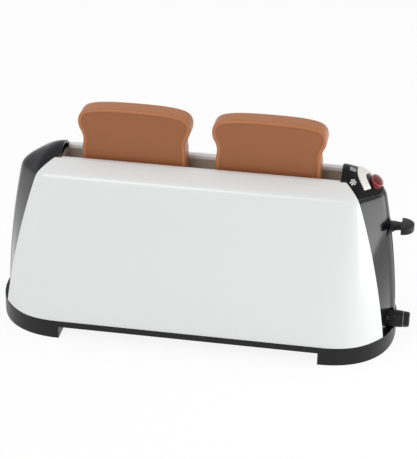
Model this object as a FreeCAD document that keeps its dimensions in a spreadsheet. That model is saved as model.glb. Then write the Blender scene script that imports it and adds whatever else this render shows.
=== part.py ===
import FreeCAD, Part
import math
import os
import re

# Toy toaster with one long slot, two play slices and a clockwork timer.
# Millimetres. X runs along the body to the lever end, the front faces -Y,
# Z is up and the feet stand on Z = 0.

vec = FreeCAD.Vector

# Driving sizes: name, value, what it is.
DRIVING = [
    # Outline of the body
    ("body_length", 267.0, "base, end to end"),
    ("body_depth", 102.0, "base, front to back"),
    ("end_round", 47.0, "length of the rounded end of the base in plan"),
    ("base_top", 12.2, "height of the top of the base"),
    ("base_under", 8.4, "height of the underside between the feet"),
    ("foot_reach", 86.2, "centre to the inner end of a foot"),
    ("base_wall", 3.0, "wall of the base"),
    ("base_floor", 2.0, "floor of the base"),
    ("shell_inset", 0.7, "step from the base in to the shell"),
    ("shell_wall", 2.2, "wall of the white shells"),
    ("edge_gap", 0.4, "gap between a shell and a cap"),
    ("seat_gap", 0.1, "gap at a seated face"),
    ("shoulder_height", 107.0, "height of the shell's shoulder"),
    ("shoulder_depth", 27.0, "centre to the shoulder, in depth"),
    ("shoulder_flat", 97.0, "centre to the start of the shoulder's corner"),
    ("shell_side_low", 126.6, "centre to the shell's side edge, at its foot"),
    ("shell_side_high", 105.2, "centre to the shell's side edge, at the shoulder"),
    ("shell_side_swell", 2.3, "swell of the side edge at half height"),
    ("side_depth_low", 29.0, "depth of the side edge at its foot"),
    ("side_depth_high", 24.4, "depth of the side edge at the shoulder"),
    ("front_swell", 1.6, "swell of the front at half height"),
    ("lip_height", 113.8, "height of the slot's rim"),
    ("lip_depth", 12.5, "centre to the rim's outer edge"),
    ("lip_length", 95.6, "centre to the end of the rim"),
    ("lip_crown", 1.7, "swell of the slope from shoulder to rim"),
    # Slot and lining
    ("slot_half", 92.0, "centre to the slot's end"),
    ("slot_width", 18.0, "slot, front to back"),
    ("well_wall", 1.4, "wall of the lining"),
    ("well_floor", 17.0, "height of the lining's floor"),
    ("well_slot", 8.8, "slot in the lining's end for the carriage"),
    ("tab_reach", 12.5, "length of the tab that holds a guide rod"),
    ("tab_width", 25.0, "tab, front to back"),
    ("tab_thick", 2.0, "tab, thickness"),
    ("tab_height", 96.0, "height of the tab's underside"),
    # End caps
    ("cap_wall", 2.4, "wall of the end caps"),
    ("cap_end_low", 132.5, "centre to the end face at the base"),
    ("cap_end_high", 121.0, "centre to the end face at the top"),
    ("cap_end_swell", 1.9, "swell of the end face at half height"),
    ("cap_high", 104.0, "height of the top of the end face"),
    ("crease_low", 129.2, "centre to the crease at the base"),
    ("crease_high", 116.9, "centre to the crease at the top"),
    ("crease_swell", 2.4, "swell of the crease at half height"),
    ("crease_depth", 9.0, "depth of the crease"),
    ("dome_height", 120.3, "height of the dome at the slot"),
    ("dome_inner", 91.8, "centre to the dome's face at the slot"),
    # Carriage and lever
    ("lift_travel", 45.0, "travel of the carriage"),
    ("bar_top", 71.0, "height of the carriage's bar when up"),
    ("bar_thick", 2.5, "bar, thickness"),
    ("bar_width", 13.0, "bar, front to back"),
    ("bar_half", 88.0, "centre to the end of the bar"),
    ("arm_width", 6.0, "carriage arm, front to back"),
    ("arm_height", 7.0, "carriage arm, height"),
    ("block_reach", 114.0, "centre to the outer end of the lever block"),
    ("block_width", 8.0, "guide block, front to back"),
    ("block_height", 20.0, "guide block, height"),
    ("block_thick", 9.0, "guide block, length at the plain end"),
    ("ear_reach", 13.0, "centre to the tip of the spring ear, in depth"),
    ("ear_thick", 3.0, "spring ear, thickness"),
    ("rod_place", 99.5, "centre to a guide rod"),
    ("rod_radius", 2.0, "guide rod, radius"),
    ("slide_gap", 0.05, "running clearance on a rod or pin"),
    ("spring_radius", 2.5, "lift spring, outer radius"),
    ("spring_wire", 0.6, "lift spring, wire"),
    ("spring_depth", 9.5, "centre to a lift spring, in depth"),
    ("lever_height", 80.2, "height of the lever when up"),
    ("lever_thick", 4.0, "lever arm, thickness"),
    ("tongue_width", 4.0, "lever tongue inside, front to back"),
    ("tongue_inner", 104.5, "centre to the tongue's inner end"),
    ("tongue_gap", 0.3, "clearance round the tongue"),
    ("lever_width", 7.0, "lever arm outside, front to back"),
    ("lever_tilt", 7.7, "lean of the lever's path, degrees"),
    ("lever_seat", 126.2, "centre to the root's inner face"),
    ("root_half", 8.6, "root of the lever, half width"),
    ("root_height", 8.4, "root of the lever, height"),
    ("root_thick", 1.5, "root of the lever, thickness"),
    ("head_start", 131.5, "centre to the inner face of the head"),
    ("head_length", 8.4, "head, length"),
    ("head_half", 8.6, "head, half width"),
    ("head_thick", 5.0, "head, thickness"),
    ("lever_slot_width", 4.8, "slot in the cap for the lever"),
    ("lever_slot_low", 27.0, "height of the slot's lower end"),
    ("lever_slot_high", 86.0, "height of the slot's upper end"),
    # Slices
    ("slice_width", 74.0, "slice, at its crown"),
    ("slice_height", 78.0, "slice, height"),
    ("slice_thick", 14.0, "slice, thickness"),
    ("slice_foot", 71.0, "slice, width at its foot"),
    ("slice_waist", 67.0, "slice, width at its waist"),
    ("slice_waist_height", 57.5, "slice, height of the waist"),
    ("slice_crown_height", 66.0, "slice, height of the widest place"),
    ("slice_corner", 8.0, "slice, radius of the crown's corners"),
    ("slice_arch", 2.6, "slice, rise of the top edge"),
    ("slice_rim", 2.2, "slice, width of the raised rim"),
    ("slice_recess", 0.9, "slice, depth of the recessed face"),
    ("slice_place", 44.15, "centre to the middle of a slice"),
    # Knob and clockwork
    ("knob_seat", 128.4, "centre to the inner face of the knob"),
    ("knob_depth", 9.8, "centre to the knob's axis, in depth"),
    ("knob_height", 16.5, "height of the knob's axis"),
    ("collar_radius", 6.3, "knob collar, radius"),
    ("collar_length", 3.4, "knob collar, length"),
    ("collar_ribs", 20, "knob collar, number of ribs"),
    ("grip_radius", 5.8, "knob grip, radius"),
    ("grip_length", 10.7, "knob grip, length"),
    ("grip_flat", 4.1, "centre to a flat of the grip"),
    ("recess_gap", 0.8, "clearance round the knob in the cap"),
    ("arbor_radius", 1.6, "arbors of the clockwork, radius"),
    ("shaft_radius", 2.4, "knob shaft, radius"),
    ("plate_inner", 95.5, "centre to the inner plate"),
    ("plate_outer", 108.0, "centre to the outer plate"),
    ("plate_thick", 1.2, "plates of the clockwork, thickness"),
    ("plate_front", 30.0, "centre to the plates' front edge, in depth"),
    ("plate_back", 6.5, "centre to the plates' back edge, in depth"),
    ("plate_low", 10.6, "height of the plates' lower edge"),
    ("plate_high", 63.0, "height of the plates' upper edge"),
    ("tooth_module", 0.8, "gear teeth, module"),
    ("wheel_thick", 1.6, "wheels, thickness"),
    ("first_teeth", 12, "teeth of the winding pinion"),
    ("second_teeth", 30, "teeth of the second wheel"),
    ("second_pinion", 10, "teeth of the second pinion"),
    ("third_teeth", 27, "teeth of the third wheel"),
    ("mesh_gap", 0.12, "added to each centre distance"),
    ("second_lean", 120.0, "direction from the winding arbor to the second, degrees"),
    ("third_lean", 97.0, "direction from the second arbor to the third, degrees"),
    ("barrel_radius", 5.2, "mainspring, outer radius"),
    ("barrel_length", 5.0, "mainspring, length"),
    # Bell, latch
    ("bell_radius", 9.5, "bell, radius"),
    ("bell_wall", 0.9, "bell, wall"),
    ("bell_place", 103.0, "centre to the bell"),
    ("bell_depth", 24.5, "centre to the bell, in depth"),
    ("bell_height", 48.0, "height of the bell's rim"),
    ("post_radius", 2.5, "bell post, radius"),
    ("striker_place", 90.8, "centre to the striker's pivot"),
    ("striker_depth", 14.5, "centre to the striker's pivot, in depth"),
    ("striker_ball", 2.2, "striker, radius of its ball"),
    ("striker_gap", 0.8, "striker's ball to the bell"),
    ("latch_place", 109.0, "centre to the latch's pivot"),
    ("latch_depth", 17.0, "centre to the latch's pivot, in depth"),
    # Panel, button, rocker
    ("panel_rise", 0.6, "panel above the dome"),
    ("button_place", 113.8, "centre to the middle of the button"),
    ("button_half", 7.2, "button, half its length across the body"),
    ("button_reach", 4.6, "button, half its width down the slope"),
    ("button_travel", 2.5, "button, travel"),
]

size = {name: value for name, value, note in DRIVING}

os.makedirs("parts", exist_ok=True)
doc = FreeCAD.newDocument("ToyToaster")
sheet = doc.addObject("Spreadsheet::Sheet", "Sizes")
for line, (name, value, note) in enumerate(DRIVING, start=1):
    sheet.set(f"A{line}", note)
    sheet.set(f"B{line}", str(value))
    sheet.setAlias(f"B{line}", name)
doc.recompute()


def cell(name):
    """The value of a driving size, read from the sheet."""
    return float(getattr(sheet, name))


class Values:
    """Driving sizes as attributes, for shapes that are worked out point by point."""

    def __getattr__(self, name):
        return cell(name)


v = Values()
pieces = []

# The knob stands out at one end, so the frame's origin, under the middle of the whole,
# lies off the middle of the body by half of that.
SHIFT = "(knob_seat + collar_length + grip_length - body_length / 2) / 2"
shift = (v.knob_seat + v.collar_length + v.grip_length - v.body_length / 2) / 2


def formula(text):
    """A formula in the names of driving sizes, as the sheet's cells."""
    return re.sub(r"[a-z][a-z_]*", lambda word: "Sizes." + word[0] if word[0] in size else word[0], text)


def bind(thing, **properties):
    """Tie properties to formulas; x, y and z are the place."""
    for name, text in properties.items():
        path = "Placement.Base." + name if name in ("x", "y", "z") else name
        thing.setExpression(path, formula(str(text)))
    return thing


def block(name, x, y, z):
    """A box between three pairs of places."""
    box = doc.addObject("Part::Box", name)
    bind(box, Length=f"({x[1]}) - ({x[0]})", Width=f"({y[1]}) - ({y[0]})", Height=f"({z[1]}) - ({z[0]})")
    return bind(box, x=x[0], y=y[0], z=z[0])


TURNS = {"x": (vec(0, 1, 0), 90), "y": (vec(1, 0, 0), -90), "z": (vec(0, 0, 1), 0)}


def drum(name, radius, length, place, axis="z"):
    """A cylinder that runs from a place along an axis."""
    cylinder = doc.addObject("Part::Cylinder", name)
    cylinder.Placement.Rotation = FreeCAD.Rotation(*TURNS[axis])
    bind(cylinder, Radius=radius, Height=length)
    return bind(cylinder, x=place[0], y=place[1], z=place[2])


def join(name, *things):
    """Several objects as one."""
    together = doc.addObject("Part::MultiFuse", name)
    together.Shapes = list(things)
    together.Refine = True
    return together


def cut(name, base, *tools):
    """An object less its tools."""
    left = doc.addObject("Part::Cut", name)
    left.Base = base
    left.Tool = tools[0] if len(tools) == 1 else join(name + "_tools", *tools)
    return left


def feature(name, shape):
    """A shape that is worked out point by point."""
    thing = doc.addObject("Part::Feature", name)
    thing.Shape = shape
    return thing


def piece(label, thing):
    """Name a finished sub-part and set it in the frame."""
    thing.Label = label
    own = [text for path, text in thing.ExpressionEngine if path.endswith("Placement.Base.x")]
    start = own[0] if own else "0"
    thing.setExpression("Placement.Base.x", f"{start} - {formula(SHIFT)}")
    pieces.append(thing)
    return thing


def ends(thing):
    """Names, signs and mirror words for the two ends of the body."""
    return [(thing + "_left", -1), (thing + "_right", 1)]


# Curves and lofts

def between(low, high, share, swell=0.0):
    """From low to high, with a swell that is full at half way."""
    return low + (high - low) * share + 4 * swell * share * (1 - share)


def loft(wires, straight=False):
    return Part.makeLoft(wires, True, straight)


def closed(edges):
    return Part.Wire(Part.__sortEdges__(edges))


def lines(points):
    """Straight edges through points."""
    return [Part.makeLine(a, b) for a, b in zip(points, points[1:])]


def bezier(*points):
    curve = Part.BezierCurve()
    curve.setPoles(list(points))
    return curve.toShape()


def arc(start, middle, end):
    return Part.Arc(start, middle, end).toShape()


def mirror_front(shape):
    """The rear twin of a front shape."""
    return shape.mirror(vec(0, 0, 0), vec(0, 1, 0))


def mirror_end(shape):
    """The left twin of a right shape."""
    return shape.mirror(vec(0, 0, 0), vec(1, 0, 0))


# Base

BASE_FULLNESS = 0.62


def base_outline(height, inset=0.0):
    """The base in plan: straight sides and full, rounded ends."""
    flat = v.body_length / 2 - v.end_round
    end = v.body_length / 2 - inset
    half = v.body_depth / 2 - inset
    reach = flat + BASE_FULLNESS * (end - flat)
    handle = BASE_FULLNESS * half

    def quarter(side, face):
        start = vec(side * flat, face * half, height)
        stop = vec(side * end, 0, height)
        return bezier(start, vec(side * reach, face * half, height), vec(side * end, face * handle,
                                                                         height), stop)

    edges = [quarter(side, face) for side in (-1, 1) for face in (-1, 1)]
    for face in (-1, 1):
        edges.append(Part.makeLine(vec(-flat, face * half, height), vec(flat, face * half, height)))
    return Part.Face(closed(edges))


def rise(face, height):
    return face.extrude(vec(0, 0, height))


def floor_holes():
    """Places of the screws through the floor, over the front right corner."""
    return [(side * SCREW_X, face * SCREW_Y) for side in (-1, 1) for face in (-1, 1)]


SCREW_INSET = 17.3
SCREW_X = v.body_length / 2 - SCREW_INSET
SCREW_Y = v.crease_depth + 8.0
SCREW_RADIUS = 1.4
SCREW_HOLE = 1.7
SCREW_POST = 3.2
POST_RISE = 20.0
SCREW_HEAD = 3.0
SCREW_HEAD_THICK = 1.8
SCREW_REACH = 14.0
ROD_BOSS = 4.2


def base_tray():
    tray = rise(base_outline(0), v.base_top)
    inside = rise(base_outline(v.base_under + v.base_floor, v.base_wall), v.base_top)
    middle = Part.makeBox(2 * v.foot_reach, v.body_depth + 2, v.base_under, vec(-v.foot_reach,
                                                                                -v.body_depth / 2 - 1, 0))
    foot_inside = rise(base_outline(0, 2 * v.base_wall), v.base_under)
    hollow = foot_inside.cut(Part.makeBox(2 * (v.foot_reach + v.base_wall), v.body_depth, v.base_under,
                                          vec(-v.foot_reach - v.base_wall, -v.body_depth / 2, 0)))
    tray = tray.cut([inside, middle, hollow])
    bosses = []
    for side in (-1, 1):
        boss_height = v.base_top - v.base_under
        bosses.append(Part.makeCylinder(ROD_BOSS, boss_height, vec(side * v.rod_place, 0, v.base_under)))
    tray = tray.fuse(bosses)
    holes = []
    for side in (-1, 1):
        deep = v.base_under + v.base_floor / 2
        holes.append(Part.makeCylinder(v.rod_radius + v.slide_gap, v.base_top, vec(side * v.rod_place, 0,
                                                                                   deep)))
    for x, y in floor_holes():
        holes.append(Part.makeCylinder(SCREW_HOLE, v.base_top, vec(x, y, 0)))
    holes.append(knob_recess())
    return tray.cut(holes).removeSplitter()


def knob_recess():
    """Round clearance for the knob in the end of the body."""
    place = vec(v.knob_seat - v.recess_gap / 2, -v.knob_depth, v.knob_height)
    return Part.makeCylinder(v.collar_radius + v.recess_gap, v.body_length, place, vec(1, 0, 0))


# White shells

CORNER_START = 0.52
CORNER_END = 0.8
CORNER_LEAN = 56.0
TOP_LEVELS = (0.0, 0.3, 0.6, 0.85, 1.0)


def side_edge(height):
    """Place and depth of the shell's side edge at a height."""
    share = (height - v.base_top) / (v.shoulder_height - v.base_top)
    place = between(v.shell_side_low, v.shell_side_high, share, v.shell_side_swell)
    return place, between(v.side_depth_low, v.side_depth_high, share)


def shell_section(height, flat, front, side, depth, chord):
    """One shell's outline in plan: its front, two corners, and a chord behind."""
    start = flat + CORNER_START * (side - flat)
    pull = CORNER_END * (front - depth)
    lean = math.radians(CORNER_LEAN)
    before = vec(side - pull * math.cos(lean), -depth - pull * math.sin(lean), height)
    right = bezier(vec(flat, -front, height), vec(start, -front, height), before, vec(side, -depth, height))
    before = vec(-before.x, before.y, height)
    left = bezier(vec(-side, -depth, height), before, vec(-start, -front, height), vec(-flat, -front,
                                                                                       height))
    run = Part.makeLine(vec(-flat, -front, height), vec(flat, -front, height))
    back = lines([vec(side, -depth, height), vec(side, -chord, height),
                  vec(-side, -chord, height), vec(-side, -depth, height)]) if chord < depth else \
        lines([vec(side, -depth, height), vec(-side, -depth, height)])
    return Part.Wire([left, run, right] + back)


def side_wall(inset, low, high, chord_less):
    """The shell from its foot to its shoulder, as a solid to a chord behind."""
    wires = []
    for share in (0.0, 0.33, 0.67, 1.0):
        height = between(low, high, share)
        rise_share = (height - v.base_top) / (v.shoulder_height - v.base_top)
        front = between(v.body_depth / 2 - v.shell_inset, v.shoulder_depth, rise_share,
                        v.front_swell) - inset
        flat = between(v.body_length / 2 - v.end_round, v.shoulder_flat, rise_share)
        side, depth = side_edge(height)
        if chord_less:
            wires.append(shell_section(height, flat, front, side - inset * 0.7, depth - inset * 0.5,
                                       depth - chord_less))
        else:
            wires.append(shell_section(height, flat, front, side, depth, depth))
    return loft(wires)


def top_slope(inset, drop):
    """The shell from its shoulder over to the rim of the slot."""
    rim = v.slot_width / 2 + 2 * v.seat_gap
    wires = []
    for share in TOP_LEVELS:
        height = v.shoulder_height + share * (v.lip_height - v.shoulder_height)
        front = between(v.shoulder_depth, v.lip_depth, share, v.lip_crown) - inset
        side = between(v.shell_side_high, v.lip_length, share, v.lip_crown / 2) - inset
        depth = min(between(v.side_depth_high, v.lip_depth - 0.6, share, v.lip_crown / 2), front - 0.3)
        flat = between(v.shoulder_flat, v.lip_length - 1.5, share) - inset
        wires.append(shell_section(height - drop, flat, front, side, depth, rim if not drop else rim - 1))
    return loft(wires)


def front_shell():
    outer = side_wall(0, v.base_top + v.seat_gap, v.shoulder_height, 0).fuse(top_slope(0, 0))
    inner_low = side_wall(v.shell_wall, v.base_top - 1, v.shoulder_height, 8.0)
    inner_top = top_slope(0.9, v.shell_wall)
    shell = outer.cut([inner_low, inner_top])
    for side in (-1, 1):
        shell = shell.cut(dome(side, v.edge_gap))
        shell = shell.cut(cap_walls(side, v.edge_gap, True))
    solids = sorted(shell.Solids, key=lambda solid: solid.Volume)
    return solids[-1]


# End caps

DOME_BOTTOM = 101.2
WALL_LEVELS = (0.0, 0.25, 0.5, 0.75, 1.0)


def dome_sections():
    """Along the cap's top: place, half width, height of the edge, height of the crown."""
    side, depth = side_edge(v.shoulder_height)
    end = v.cap_end_high
    return [
        (v.dome_inner, v.lip_depth - v.edge_gap, v.lip_height - 0.2, v.dome_height),
        (v.lip_length, v.lip_depth - v.edge_gap, v.lip_height - 0.4, v.dome_height - 0.7),
        ((v.lip_length + side) / 2, (v.lip_depth + depth) / 2 - v.edge_gap, v.shoulder_height + 2.9,
         v.dome_height - 2.5),
        (side - v.edge_gap, depth - v.edge_gap, v.shoulder_height - 0.7, v.dome_height - 5.2),
        (between(side, v.crease_high - 2, 0.55), between(depth, v.crease_depth, 0.55), v.cap_high + 1.4,
         v.dome_height - 8.3),
        (v.crease_high - 2.0, v.crease_depth + 0.5, v.cap_high, v.dome_height - 11.0),
        (end - 1.2, v.crease_depth * 0.55, v.cap_high - 1.0, v.dome_height - 15.2),
    ]


def dome(side, grow=0.0, inset=0.0):
    """The domed top of a cap, as a solid down to a level; inset gives its hollow."""
    wires = []
    sections = dome_sections()
    for place, half, edge, crown in sections:
        half = half + grow - inset
        edge = edge + grow - inset
        crown = crown + grow - inset
        x = place - (grow if place == sections[0][0] else 0)
        bottom = DOME_BOTTOM - (1 if inset else 0)
        corner_a, corner_b = vec(x, -half, edge), vec(x, half, edge)
        edges = lines([corner_b, vec(x, half, bottom), vec(x, -half, bottom), corner_a])
        wires.append(Part.Wire([arc(corner_a, vec(x, 0, crown), corner_b)] + edges))
    solid = loft(wires[1:-1] if inset else wires, True)
    return solid if side > 0 else mirror_end(solid)


def cap_section(height, inset, back, grow=0.0):
    """A cap's wall in plan: two facets, a rounded end, and its edges under the shells."""
    share = (height - v.base_top) / (v.cap_high - v.base_top)
    side, depth = side_edge(height)
    side = side - v.edge_gap + grow - inset * 0.8
    depth = depth - v.edge_gap + grow - inset
    crease = between(v.crease_low, v.crease_high, share, v.crease_swell) - inset + grow
    end = between(v.cap_end_low, v.cap_end_high, share, v.cap_end_swell) - inset + grow
    half = v.crease_depth
    inner = side_edge(height)[0] - back
    points = [vec(crease, half, height), vec(side, depth, height), vec(inner, depth, height),
              vec(inner, -depth, height), vec(side, -depth, height), vec(crease, -half, height)]
    return Part.Wire(lines(points) + [arc(points[-1], vec(end, 0, height), points[0])])


FLANGE = 6.0


def cap_walls(side, grow=0.0, envelope=False):
    """The standing walls of a cap."""
    low = v.base_top + v.seat_gap
    levels = [between(low, v.cap_high, share) for share in WALL_LEVELS]
    outer = loft([cap_section(height, 0, FLANGE, grow) for height in levels])
    if not envelope:
        steps = [between(low - 1, v.cap_high - v.cap_wall, share) for share in WALL_LEVELS]
        outer = outer.cut(loft([cap_section(height, v.cap_wall, FLANGE + 1) for height in steps]))
    return outer if side > 0 else mirror_end(outer)


def end_cap(side):
    cap = cap_walls(side).fuse(dome(side))
    cap = cap.cut(dome(side, 0, v.cap_wall))
    well_top = well_height() + v.seat_gap
    reach = v.slot_half + v.well_wall + 2 * v.seat_gap
    half = v.slot_width / 2 + v.well_wall + 2 * v.seat_gap
    notch = Part.makeBox(reach, 2 * half, well_top, vec(0 if side > 0 else -reach, -half, 0))
    posts = []
    post_top = v.base_top + POST_RISE
    low = v.base_under + v.base_floor + v.seat_gap
    for face in (-1, 1):
        posts.append(Part.makeCylinder(SCREW_POST, post_top - low, vec(side * SCREW_X, face * SCREW_Y,
                                                                       low)))
        web = Part.makeBox(8.0, 2.0, post_top - v.base_top - 3, vec(SCREW_X if side > 0 else -SCREW_X - 8.0,
                           face * SCREW_Y - 1.0, v.base_top + 3))
        posts.append(web.common(cap_walls(side, 0, True)))
    cap = cap.cut(notch).fuse(posts)
    holes = [Part.makeCylinder(SCREW_RADIUS, SCREW_REACH + 2, vec(side * SCREW_X, face * SCREW_Y,
                                                                  low)) for face in (-1, 1)]
    cap = cap.cut(holes)
    return cap.removeSplitter()


def well_height():
    """Top of the lining, just under the shells' rims."""
    return v.lip_height - v.shell_wall - 0.3


# Slot lining and carriage

def toast_well():
    """Open-topped lining of the slot, slotted at both ends, with a tab at each end."""
    half = "(slot_half + well_wall)"
    width = "(slot_width / 2 + well_wall)"
    top = "(lip_height - shell_wall - 0.3)"
    outside = block("well_outside", (f"-{half}", half), (f"-{width}", width), ("well_floor - well_wall",
                                                                               top))
    inside = block("well_inside", ("-slot_half", "slot_half"), ("-slot_width / 2", "slot_width / 2"),
                   ("well_floor", "lip_height"))
    slot = block("well_slots", (f"-{half} - 1", f"{half} + 1"), ("-well_slot / 2", "well_slot / 2"),
                 ("well_floor - well_wall - 1", "bar_top + 4"))
    solid_parts, holes = [outside], []
    for name, side in ends("well_tab"):
        near, far = (half, f"{half} + tab_reach") if side > 0 else (f"-{half} - tab_reach", f"-{half}")
        solid_parts.append(block(name, (near, far), ("-tab_width / 2", "tab_width / 2"),
                                 ("tab_height", "tab_height + tab_thick")))
        holes.append(drum(name + "_hole", "rod_radius + slide_gap", "tab_thick + 2",
                          (f"{side} * rod_place", "0", "tab_height - 1")))
        foot = (f"{side} * (slot_half - 12) - 3", f"{side} * (slot_half - 12) + 3")
        for face in (-1, 1):
            solid_parts.append(block(f"{name}_foot_{face + 1}", foot,
                                     (f"{face} * (slot_width / 2 - 3) - 2",
                                      f"{face} * (slot_width / 2 - 3) + 2"),
                                     ("base_under + base_floor", "well_floor - well_wall")))
    solid = join("well_solid", *solid_parts)
    return piece("toast_well", cut("well", solid, inside, slot, *holes))


def carriage():
    """The bar under the slices, its arms through the lining and the guide blocks."""
    bar = block("bar", ("-bar_half", "bar_half"), ("-bar_width / 2", "bar_width / 2"),
                ("bar_top - bar_thick", "bar_top"))
    stop = block("bar_web", ("-bar_half", "bar_half"), ("-bar_thick / 2", "bar_thick / 2"),
                 ("bar_top - arm_height + 2", "bar_top"))
    low, high = "(bar_top - arm_height)", "(bar_top - arm_height + block_height)"
    parts, holes = [bar, stop], []
    for name, side in ends("carriage"):
        inner = "(slot_half + well_wall + 1.6)"
        outer = "block_reach" if side > 0 else f"{inner} + block_thick"
        span = (inner, outer) if side > 0 else (f"-({outer})", f"-{inner}")
        parts.append(block(name + "_block", span, ("-block_width / 2", "block_width / 2"), (low, high)))
        arm = ("bar_half - 3", f"{inner} + 1") if side > 0 else (f"-{inner} - 1", "3 - bar_half")
        parts.append(block(name + "_arm", arm, ("-arm_width / 2", "arm_width / 2"), (low, "bar_top")))
        parts.append(block(name + "_ear", (f"{side} * rod_place - spring_radius",
                                           f"{side} * rod_place + spring_radius"),
                           ("block_width / 2 - 1", "ear_reach"), (low, f"{low} + ear_thick")))
        holes.append(drum(name + "_bore", "rod_radius + slide_gap", "block_height + 2",
                          (f"{side} * rod_place", "0", f"{low} - 1")))
    pocket = block("lever_pocket", ("tongue_inner - 0.6", "block_reach + 1"),
                   ("-tongue_width / 2 - tongue_gap", "tongue_width / 2 + tongue_gap"),
                   ("lever_height - lever_thick / 2 - tongue_gap",
                    "lever_height + lever_thick / 2 + tongue_gap"))
    catch = block("catch", ("block_reach - 8", "block_reach - 2"),
                  ("block_width / 2 - 1", "block_width / 2 + 3.2"), (f"{high} - 3", high))
    parts.append(catch)
    return piece("carriage", cut("carriage_solid", join("carriage_parts", *parts), pocket, *holes))


def guides():
    """Guide rods in their bosses and the lift springs beside them."""
    for name, side in ends("guide_rod"):
        piece(name, drum(name, "rod_radius",
                         "tab_height + tab_thick - base_under - base_floor / 2 - seat_gap",
                         (f"{side} * rod_place", "0", "base_under + base_floor / 2 + seat_gap")))
    for name, side in ends("lift_spring"):
        place = (f"{side} * rod_place", "spring_depth", "bar_top - arm_height + ear_thick")
        length = "tab_height - (bar_top - arm_height + ear_thick)"
        outside = drum(name + "_outside", "spring_radius", length, place)
        inside = drum(name + "_inside", "spring_radius - spring_wire", length, place)
        piece(name, cut(name, outside, inside))


# Lever

def tilted(shape):
    """Turn a shape about the lever's root, to lie along the sloping end face."""
    return shape.rotated(vec(v.lever_seat, 0, v.lever_height), vec(0, 1, 0), -v.lever_tilt)


def lever_arm():
    """Tongue, curved root against the end face, and the arm outside."""
    half, drop = v.root_half, v.cap_end_low - v.crease_low
    back = v.lever_seat
    low = v.lever_height + v.lever_thick / 2 + 0.4 - v.root_height
    sag = ROOT_SAG * drop * (half / v.crease_depth) ** 2
    inner = arc(vec(back - sag, -half, low), vec(back, 0, low), vec(back - sag, half, low))
    thick = v.root_thick
    outer = arc(vec(back - sag + thick, half, low), vec(back + thick, 0, low), vec(back - sag + thick,
                                                                                   -half, low))
    sides = [Part.makeLine(vec(back - sag, half, low), vec(back - sag + thick, half, low)),
             Part.makeLine(vec(back - sag + thick, -half, low), vec(back - sag, -half, low))]
    root = Part.Face(Part.Wire([inner, sides[0], outer, sides[1]])).extrude(vec(0, 0, v.root_height))
    root = tilted(root)
    tongue = Part.makeBox(back + 1 - v.tongue_inner, v.tongue_width, v.lever_thick,
                          vec(v.tongue_inner, -v.tongue_width / 2, v.lever_height - v.lever_thick / 2))
    arm = Part.makeBox(v.head_start - back, v.lever_width, v.lever_thick,
                       vec(back + 0.6, -v.lever_width / 2, v.lever_height - v.lever_thick / 2))
    arm = arm.makeFillet(v.lever_thick / 4, [edge for edge in arm.Edges if abs(edge.tangentAt(0).x) > 0.9])
    peg = Part.makeCylinder(PEG_RADIUS, PEG_LENGTH, vec(v.head_start + 0.5, 0, v.lever_height),
                            vec(1, 0, 0))
    return feature("lever_arm_solid", root.fuse([tongue, arm, peg]).removeSplitter())


ROOT_SAG = 0.75
PEG_RADIUS = 1.4
PEG_LENGTH = 5.0


def lever_head():
    """D-shaped paddle on the arm, with a blind hole for the arm's peg."""
    start = v.head_start + 0.7
    low = v.lever_height - v.head_thick / 2
    half, tip = v.head_half, start + v.head_length
    reach = start + BASE_FULLNESS * v.head_length
    edges = [bezier(vec(start, -half, low), vec(reach, -half, low), vec(tip, -half * BASE_FULLNESS, low),
                    vec(tip, 0, low)),
             bezier(vec(tip, 0, low), vec(tip, half * BASE_FULLNESS, low), vec(reach, half, low),
                    vec(start, half, low)),
             Part.makeLine(vec(start, half, low), vec(start, -half, low))]
    head = Part.Face(Part.Wire(edges)).extrude(vec(0, 0, v.head_thick))
    head = head.makeFillet(v.head_thick / 5, [edge for edge in head.Edges
                                              if edge.BoundBox.ZLength < 0.01 and edge.BoundBox.XLength > 1])
    hole = Part.makeCylinder(PEG_RADIUS + 0.02, PEG_LENGTH + 0.3, vec(start - 0.1, 0, v.lever_height),
                             vec(1, 0, 0))
    return feature("lever_head_solid", head.cut(hole))


# Slices

def slice_outline(inset=0.0):
    """A slice seen from the front: foot, waist, rounded crown; centred on X."""
    base = v.bar_top
    top = base + v.slice_height - inset
    foot, waist, crown = v.slice_foot / 2 - inset, v.slice_waist / 2 - inset, v.slice_width / 2 - inset
    waist_z, crown_z = base + v.slice_waist_height, base + v.slice_crown_height
    shoulder_x = crown - v.slice_corner * 0.45
    shoulder_z = top - v.slice_arch * 1.3
    bottom = base + inset

    def half(side):
        return [
            Part.makeLine(vec(side * foot, 0, bottom), vec(side * (foot * 0.35 + waist * 0.65), 0,
                                                           waist_z - 7)),
            bezier(vec(side * (foot * 0.35 + waist * 0.65), 0, waist_z - 7), vec(side * waist, 0,
                                                                                 waist_z - 3),
                   vec(side * waist, 0, waist_z), vec(side * (waist + crown) / 2, 0,
                                                      (waist_z + crown_z) / 2 - 1)),
            bezier(vec(side * (waist + crown) / 2, 0, (waist_z + crown_z) / 2 - 1),
                   vec(side * (crown + 1.0), 0, crown_z - 1), vec(side * (crown + 1.2), 0, crown_z + 6),
                   vec(side * shoulder_x, 0, shoulder_z)),
            bezier(vec(side * shoulder_x, 0, shoulder_z), vec(side * (shoulder_x - 5), 0, top - 0.4),
                   vec(side * crown * 0.4, 0, top), vec(0, 0, top)),
        ]

    bottom_edge = Part.makeLine(vec(-foot, 0, bottom), vec(foot, 0, bottom))
    return Part.Face(closed([bottom_edge] + half(1) + half(-1)))


def toast_slice(side):
    """A play slice: one moulding with a raised rim round a recessed face on each side."""
    thick = v.slice_thick
    middle = side * v.slice_place
    body = slice_outline().extrude(vec(0, thick, 0)).translated(vec(middle, -thick / 2, 0))
    panel = slice_outline(v.slice_rim).extrude(vec(0, v.slice_recess + 1, 0))
    front = panel.translated(vec(middle, -thick / 2 - 1, 0))
    back = panel.translated(vec(middle, thick / 2 - v.slice_recess, 0))
    return feature("slice_solid", body.cut([front, back]))


# Clockwork

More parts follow.
